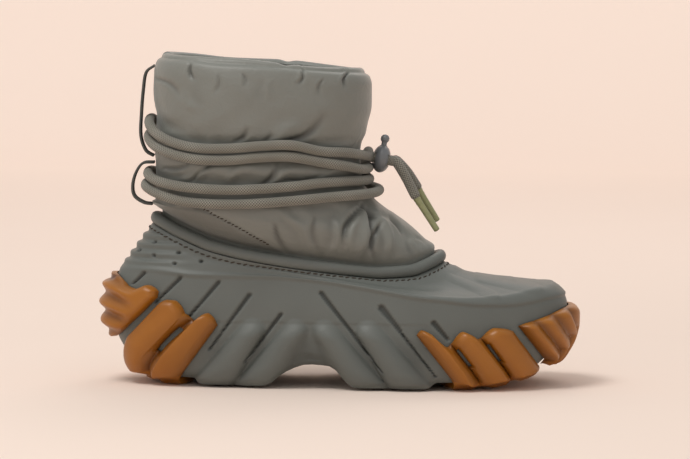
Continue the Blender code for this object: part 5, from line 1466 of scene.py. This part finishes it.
# %% [markdown]
# The tube is a circle carried along the route, with two directions across the path that never spin. It is
# closed by a small dome at each end, inside the lock.
# %% Cord round the ankle
CORD_STEP = 0.0021
start, end = ([tuple(in_lock(forward, side * STRAND_GAP / 2, 0)) for forward in LOCK_RUN] for side in (-1, 1))
route = []
for side, places in DRAWCORD_ROUTE:
    for share, height, stand_off in places:
        point, out = shaft_face(share, side, height / 1000)
        route.append(tuple(point + out * (CORD / 2 + CORD_CLEARANCE + stand_off / 1000)))
knots = 12
curve = smooth_curve(start + route + end[::-1], knots)[knots:-knots]
path = evenly(np.concatenate(([start[0]], curve, [end[0]])), CORD_STEP)
cord_points, cord_uv = tube(path, CORD / 2, 16, 0.1)
put("ankle_cord", [(cord_points, cord_uv)], BRAID, ["drawcord"], angle=180)
print("cord round the ankle:", round(float(distances(path)[-1]), 3), "m")

# %% [markdown]
# The two free ends hang from the front of the lock into moulded sleeves. Each cord keeps one length: it
# leaves the lock, bends down under its own weight and runs on inside its sleeve, where it narrows to fit.
# %% Free ends and their sleeves
SLEEVE = speckled_finish("olive_sleeve", 0.38, 220.0, 2.0, (0.250, 0.254, 0.122), (0.325, 0.328, 0.170),
                         0.3, 0.0002, {"Specular_IOR_Level": 0.5})
for side, name in ((-1, "a"), (1, "b")):
    free = [tuple(in_lock(LOCK_DEPTH / 2 + ahead, side * STRAND_GAP / 2, 0)) for ahead in (-0.0005, 0.002)]
    free += [tuple(v / 1000 for v in point) for point in CORD_ENDS[name]]
    outside = np.concatenate((free[:1], smooth_curve(free, knots)[knots:]))
    tip_end = np.array(TIP_ENDS[name]) / 1000
    sleeve_length = np.linalg.norm(tip_end - outside[-1])
    run = (tip_end - outside[-1]) / sleeve_length
    inside = outside[-1] + run[None] * np.linspace(0.001, 0.0185, 12)[:, None]
    path = evenly(np.concatenate((outside, inside)), 0.0008)
    length = distances(path)
    out_length = distances(outside)[-1]
    narrowing = smooth_step(length, out_length - 0.0022, out_length + 0.0004)
    radius = CORD / 2 - (CORD / 2 - TIP / 2 + 0.0005) * narrowing
    points, uv = tube(path, radius, 16, 0.3)
    sleeve_path = outside[-1] + run[None] * np.linspace(-0.0004, sleeve_length, 40)[:, None]
    s = np.linspace(0, 1, 40)
    lip = 0.0003 * np.exp(-((s - 0.03) / 0.03) ** 2) + 0.0002 * np.exp(-((s - 0.14) / 0.03) ** 2)
    moulding = tube(sleeve_path, TIP / 2 * (1.0 - 0.10 * s) + lip, 16, 0.45)
    cover = put(f"cord_sleeve_{name}", [moulding], SLEEVE, [f"tip_{name}"], angle=180)
    free_cord = put(f"free_cord_{name}", [(points, uv)], BRAID, [f"cord_end_{name}"], angle=180)
    print("free cord", name, round(float(length[-1]), 4), "m")

# %% [markdown]
# Two bands of webbing behind the ankle guide the cord. A band is a flat section carried along a bent
# path, and its ribs run across it. The ends meet the sleeve, where the real boot has small bars of stitches.
# %% Webbing loops
def webbing_finish():
    material, tree, surface, _ = plain_finish("woven_webbing", 0.8)
    along, across = surface_axes(tree)
    rib = maths(tree, "SINE", maths(tree, "MULTIPLY", along, math.tau * 620.0))
    thread = maths(tree, "SINE", maths(tree, "MULTIPLY", across, math.tau * 22.0))
    lift = remap(tree, maths(tree, "MULTIPLY", rib, thread), -1.0, 1.0, 0.0, 1.0)
    # Painted shade: the webbing is darker where its woven relief lies low.
    feed(surface, "Base Color", mix(tree, lift, (0.050, 0.052, 0.048), (0.120, 0.124, 0.112)))
    emboss(surface, lift, 0.6, 0.0003)
    return material


WEB = webbing_finish()


def band(table):
    """Rounded flat section carried along the middle plane: its path, and the four sides of the section."""
    rows = np.stack((table.column("x") * LENGTH, table.column("height") * COLLAR_HEIGHT), -1)
    for end in (0, -1):
        rows[end, 0] = shaft_face(0, -1, rows[end, 1])[0][0] - 3 * GAP
    flat = smooth_curve(np.stack((rows[:, 0], 0 * rows[:, 0], rows[:, 1]), -1), 10)
    run = np.gradient(flat[:, (0, 2)], axis=0)
    out = unit(np.stack((run[:, 1], -run[:, 0]), -1))
    across_band = np.concatenate((np.linspace(-1, 1, 9), np.linspace(1, -1, 9)))
    thick = np.concatenate((np.full(9, -1.0), np.full(9, 1.0)))
    thick = thick * (1 - 0.45 * np.abs(across_band) ** 8)
    edge = flat[:, None, (0, 2)] + out[:, None] * (thick * WEBBING / 2)[None, :, None]
    y = np.broadcast_to(across_band * WEBBING_WIDTH / 2, edge.shape[:2])
    points = np.stack((edge[..., 0], y, edge[..., 1]), -1)
    points = np.concatenate((points, points[:, :1]), 1)
    middle = points[:, :9].mean(1, keepdims=True) * 0.5 + points[:, 9:18].mean(1, keepdims=True) * 0.5
    points = np.concatenate((np.broadcast_to(middle[:1], points[:1].shape), points,
                             np.broadcast_to(middle[-1:], points[-1:].shape)))
    length = distances(points[:, 0])[:, None]
    v = np.append(across_band, across_band[0])[None] * 0.5 + 0.5
    return points, np.stack((length + 0 * v, v + 0 * length), -1)


for name, table in (("upper", UPPER_LOOP), ("lower", LOWER_LOOP)):
    put(f"webbing_{name}", [band(table)], WEB, [f"loop_{name}"], angle=50)

# %% [markdown]
# The cord lock is two mouldings: a barrel with a window for both strands, and a plunger with a round head
# on a spring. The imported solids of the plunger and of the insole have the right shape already, so they
# only get a better finish.
# %% Lock and insole
PLASTIC = speckled_finish("grey_plastic", 0.36, 380.0, 2.0, (0.150, 0.158, 0.168), (0.185, 0.193, 0.203),
                          0.3, 0.00008, {"Coat_Weight": 0.15, "Coat_Roughness": 0.3}, 0.08)
FELT = speckled_finish("insole_felt", 0.95, 900.0, 3.0, (0.055, 0.055, 0.050), (0.150, 0.150, 0.135),
                       0.8, 0.0006, {"Sheen_Weight": 0.4}, Distortion=1.5)
for name, finish in (("lock_plunger", PLASTIC), ("insole", FELT)):
    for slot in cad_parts[name].material_slots:
        slot.material = finish
print("kept solids with new finishes: lock_plunger, insole")

# %% [markdown]
# Only the barrel's round body is too coarse for a close look. It is worked out again as a fine egg with a
# moulded band, and the window for the strands is cut through it with a boolean, as a core leaves it in
# the mould.
# %% Lock barrel
TO_SCENE = Matrix.Translation((LOCK_CENTRE[0] - HEEL_REST, LOCK_CENTRE[1], LOCK_CENTRE[2]))
LOCK_PLACE = TO_SCENE @ Matrix.Rotation(LOCK_LEAN, 4, "Y")


def egg(rows, columns):
    """Circle of latitude for each row, at the lock's depth, width and height, with a low band at the top."""
    up = np.linspace(-math.pi / 2, math.pi / 2, rows)[:, None]
    turn = np.linspace(0, math.tau, columns)[None]
    band_row = 0.04 * np.exp(-((up - 0.95) / 0.10) ** 2)
    out = np.cos(up) * (1 + band_row)
    x, y = out * np.cos(turn) * LOCK_DEPTH / 2, out * np.sin(turn) * LOCK_WIDTH / 2
    z = np.sin(up) * LOCK_HEIGHT / 2 + 0 * turn
    return np.stack((x, y, z), -1)


def box_cutter(name, size, place):
    """Plain box used only as a cutter and removed again."""
    ends = (-0.5, 0.5)
    corners = np.array([(x, y, z) for x in ends for y in ends for z in ends]) * size + place
    sides = ((0, 1, 3, 2), (4, 6, 7, 5), (0, 4, 5, 1), (2, 3, 7, 6), (0, 2, 6, 4), (1, 5, 7, 3))
    mesh = bpy.data.meshes.new(name)
    mesh.from_pydata(corners.tolist(), [], sides)
    cutter = bpy.data.objects.new(name, mesh)
    bpy.context.collection.objects.link(cutter)
    return cutter


window_size = (LOCK_DEPTH * 2, STRAND_GAP + CORD + 2 * LOCK_CLEARANCE, CORD + 2 * LOCK_CLEARANCE)
bore_size = (PLUNGER_STEM * 0.92, PLUNGER_STEM * 0.92, LOCK_HEIGHT / 2)
barrel = put("lock_body", [(egg(40, 57) + (HEEL_REST, 0, 0),)], PLASTIC, ["lock_barrel"], angle=40)
cutters = [box_cutter("window_cutter", window_size, (0, 0, 0)),
           box_cutter("bore_cutter", bore_size, (0, 0, LOCK_HEIGHT / 2))]
for cutter in cutters:
    cut = barrel.modifiers.new(cutter.name, "BOOLEAN")
    cut.object = cutter
    cut.operation = "DIFFERENCE"
bpy.context.view_layer.update()
cut_mesh = bpy.data.meshes.new_from_object(barrel.evaluated_get(bpy.context.evaluated_depsgraph_get()))
barrel.modifiers.clear()
barrel.data = cut_mesh
cut_mesh.transform(LOCK_PLACE)
cut_mesh.set_sharp_from_angle(angle=math.radians(40))
for cutter in cutters:
    bpy.data.objects.remove(cutter)
print("lock body", len(cut_mesh.polygons), "faces")
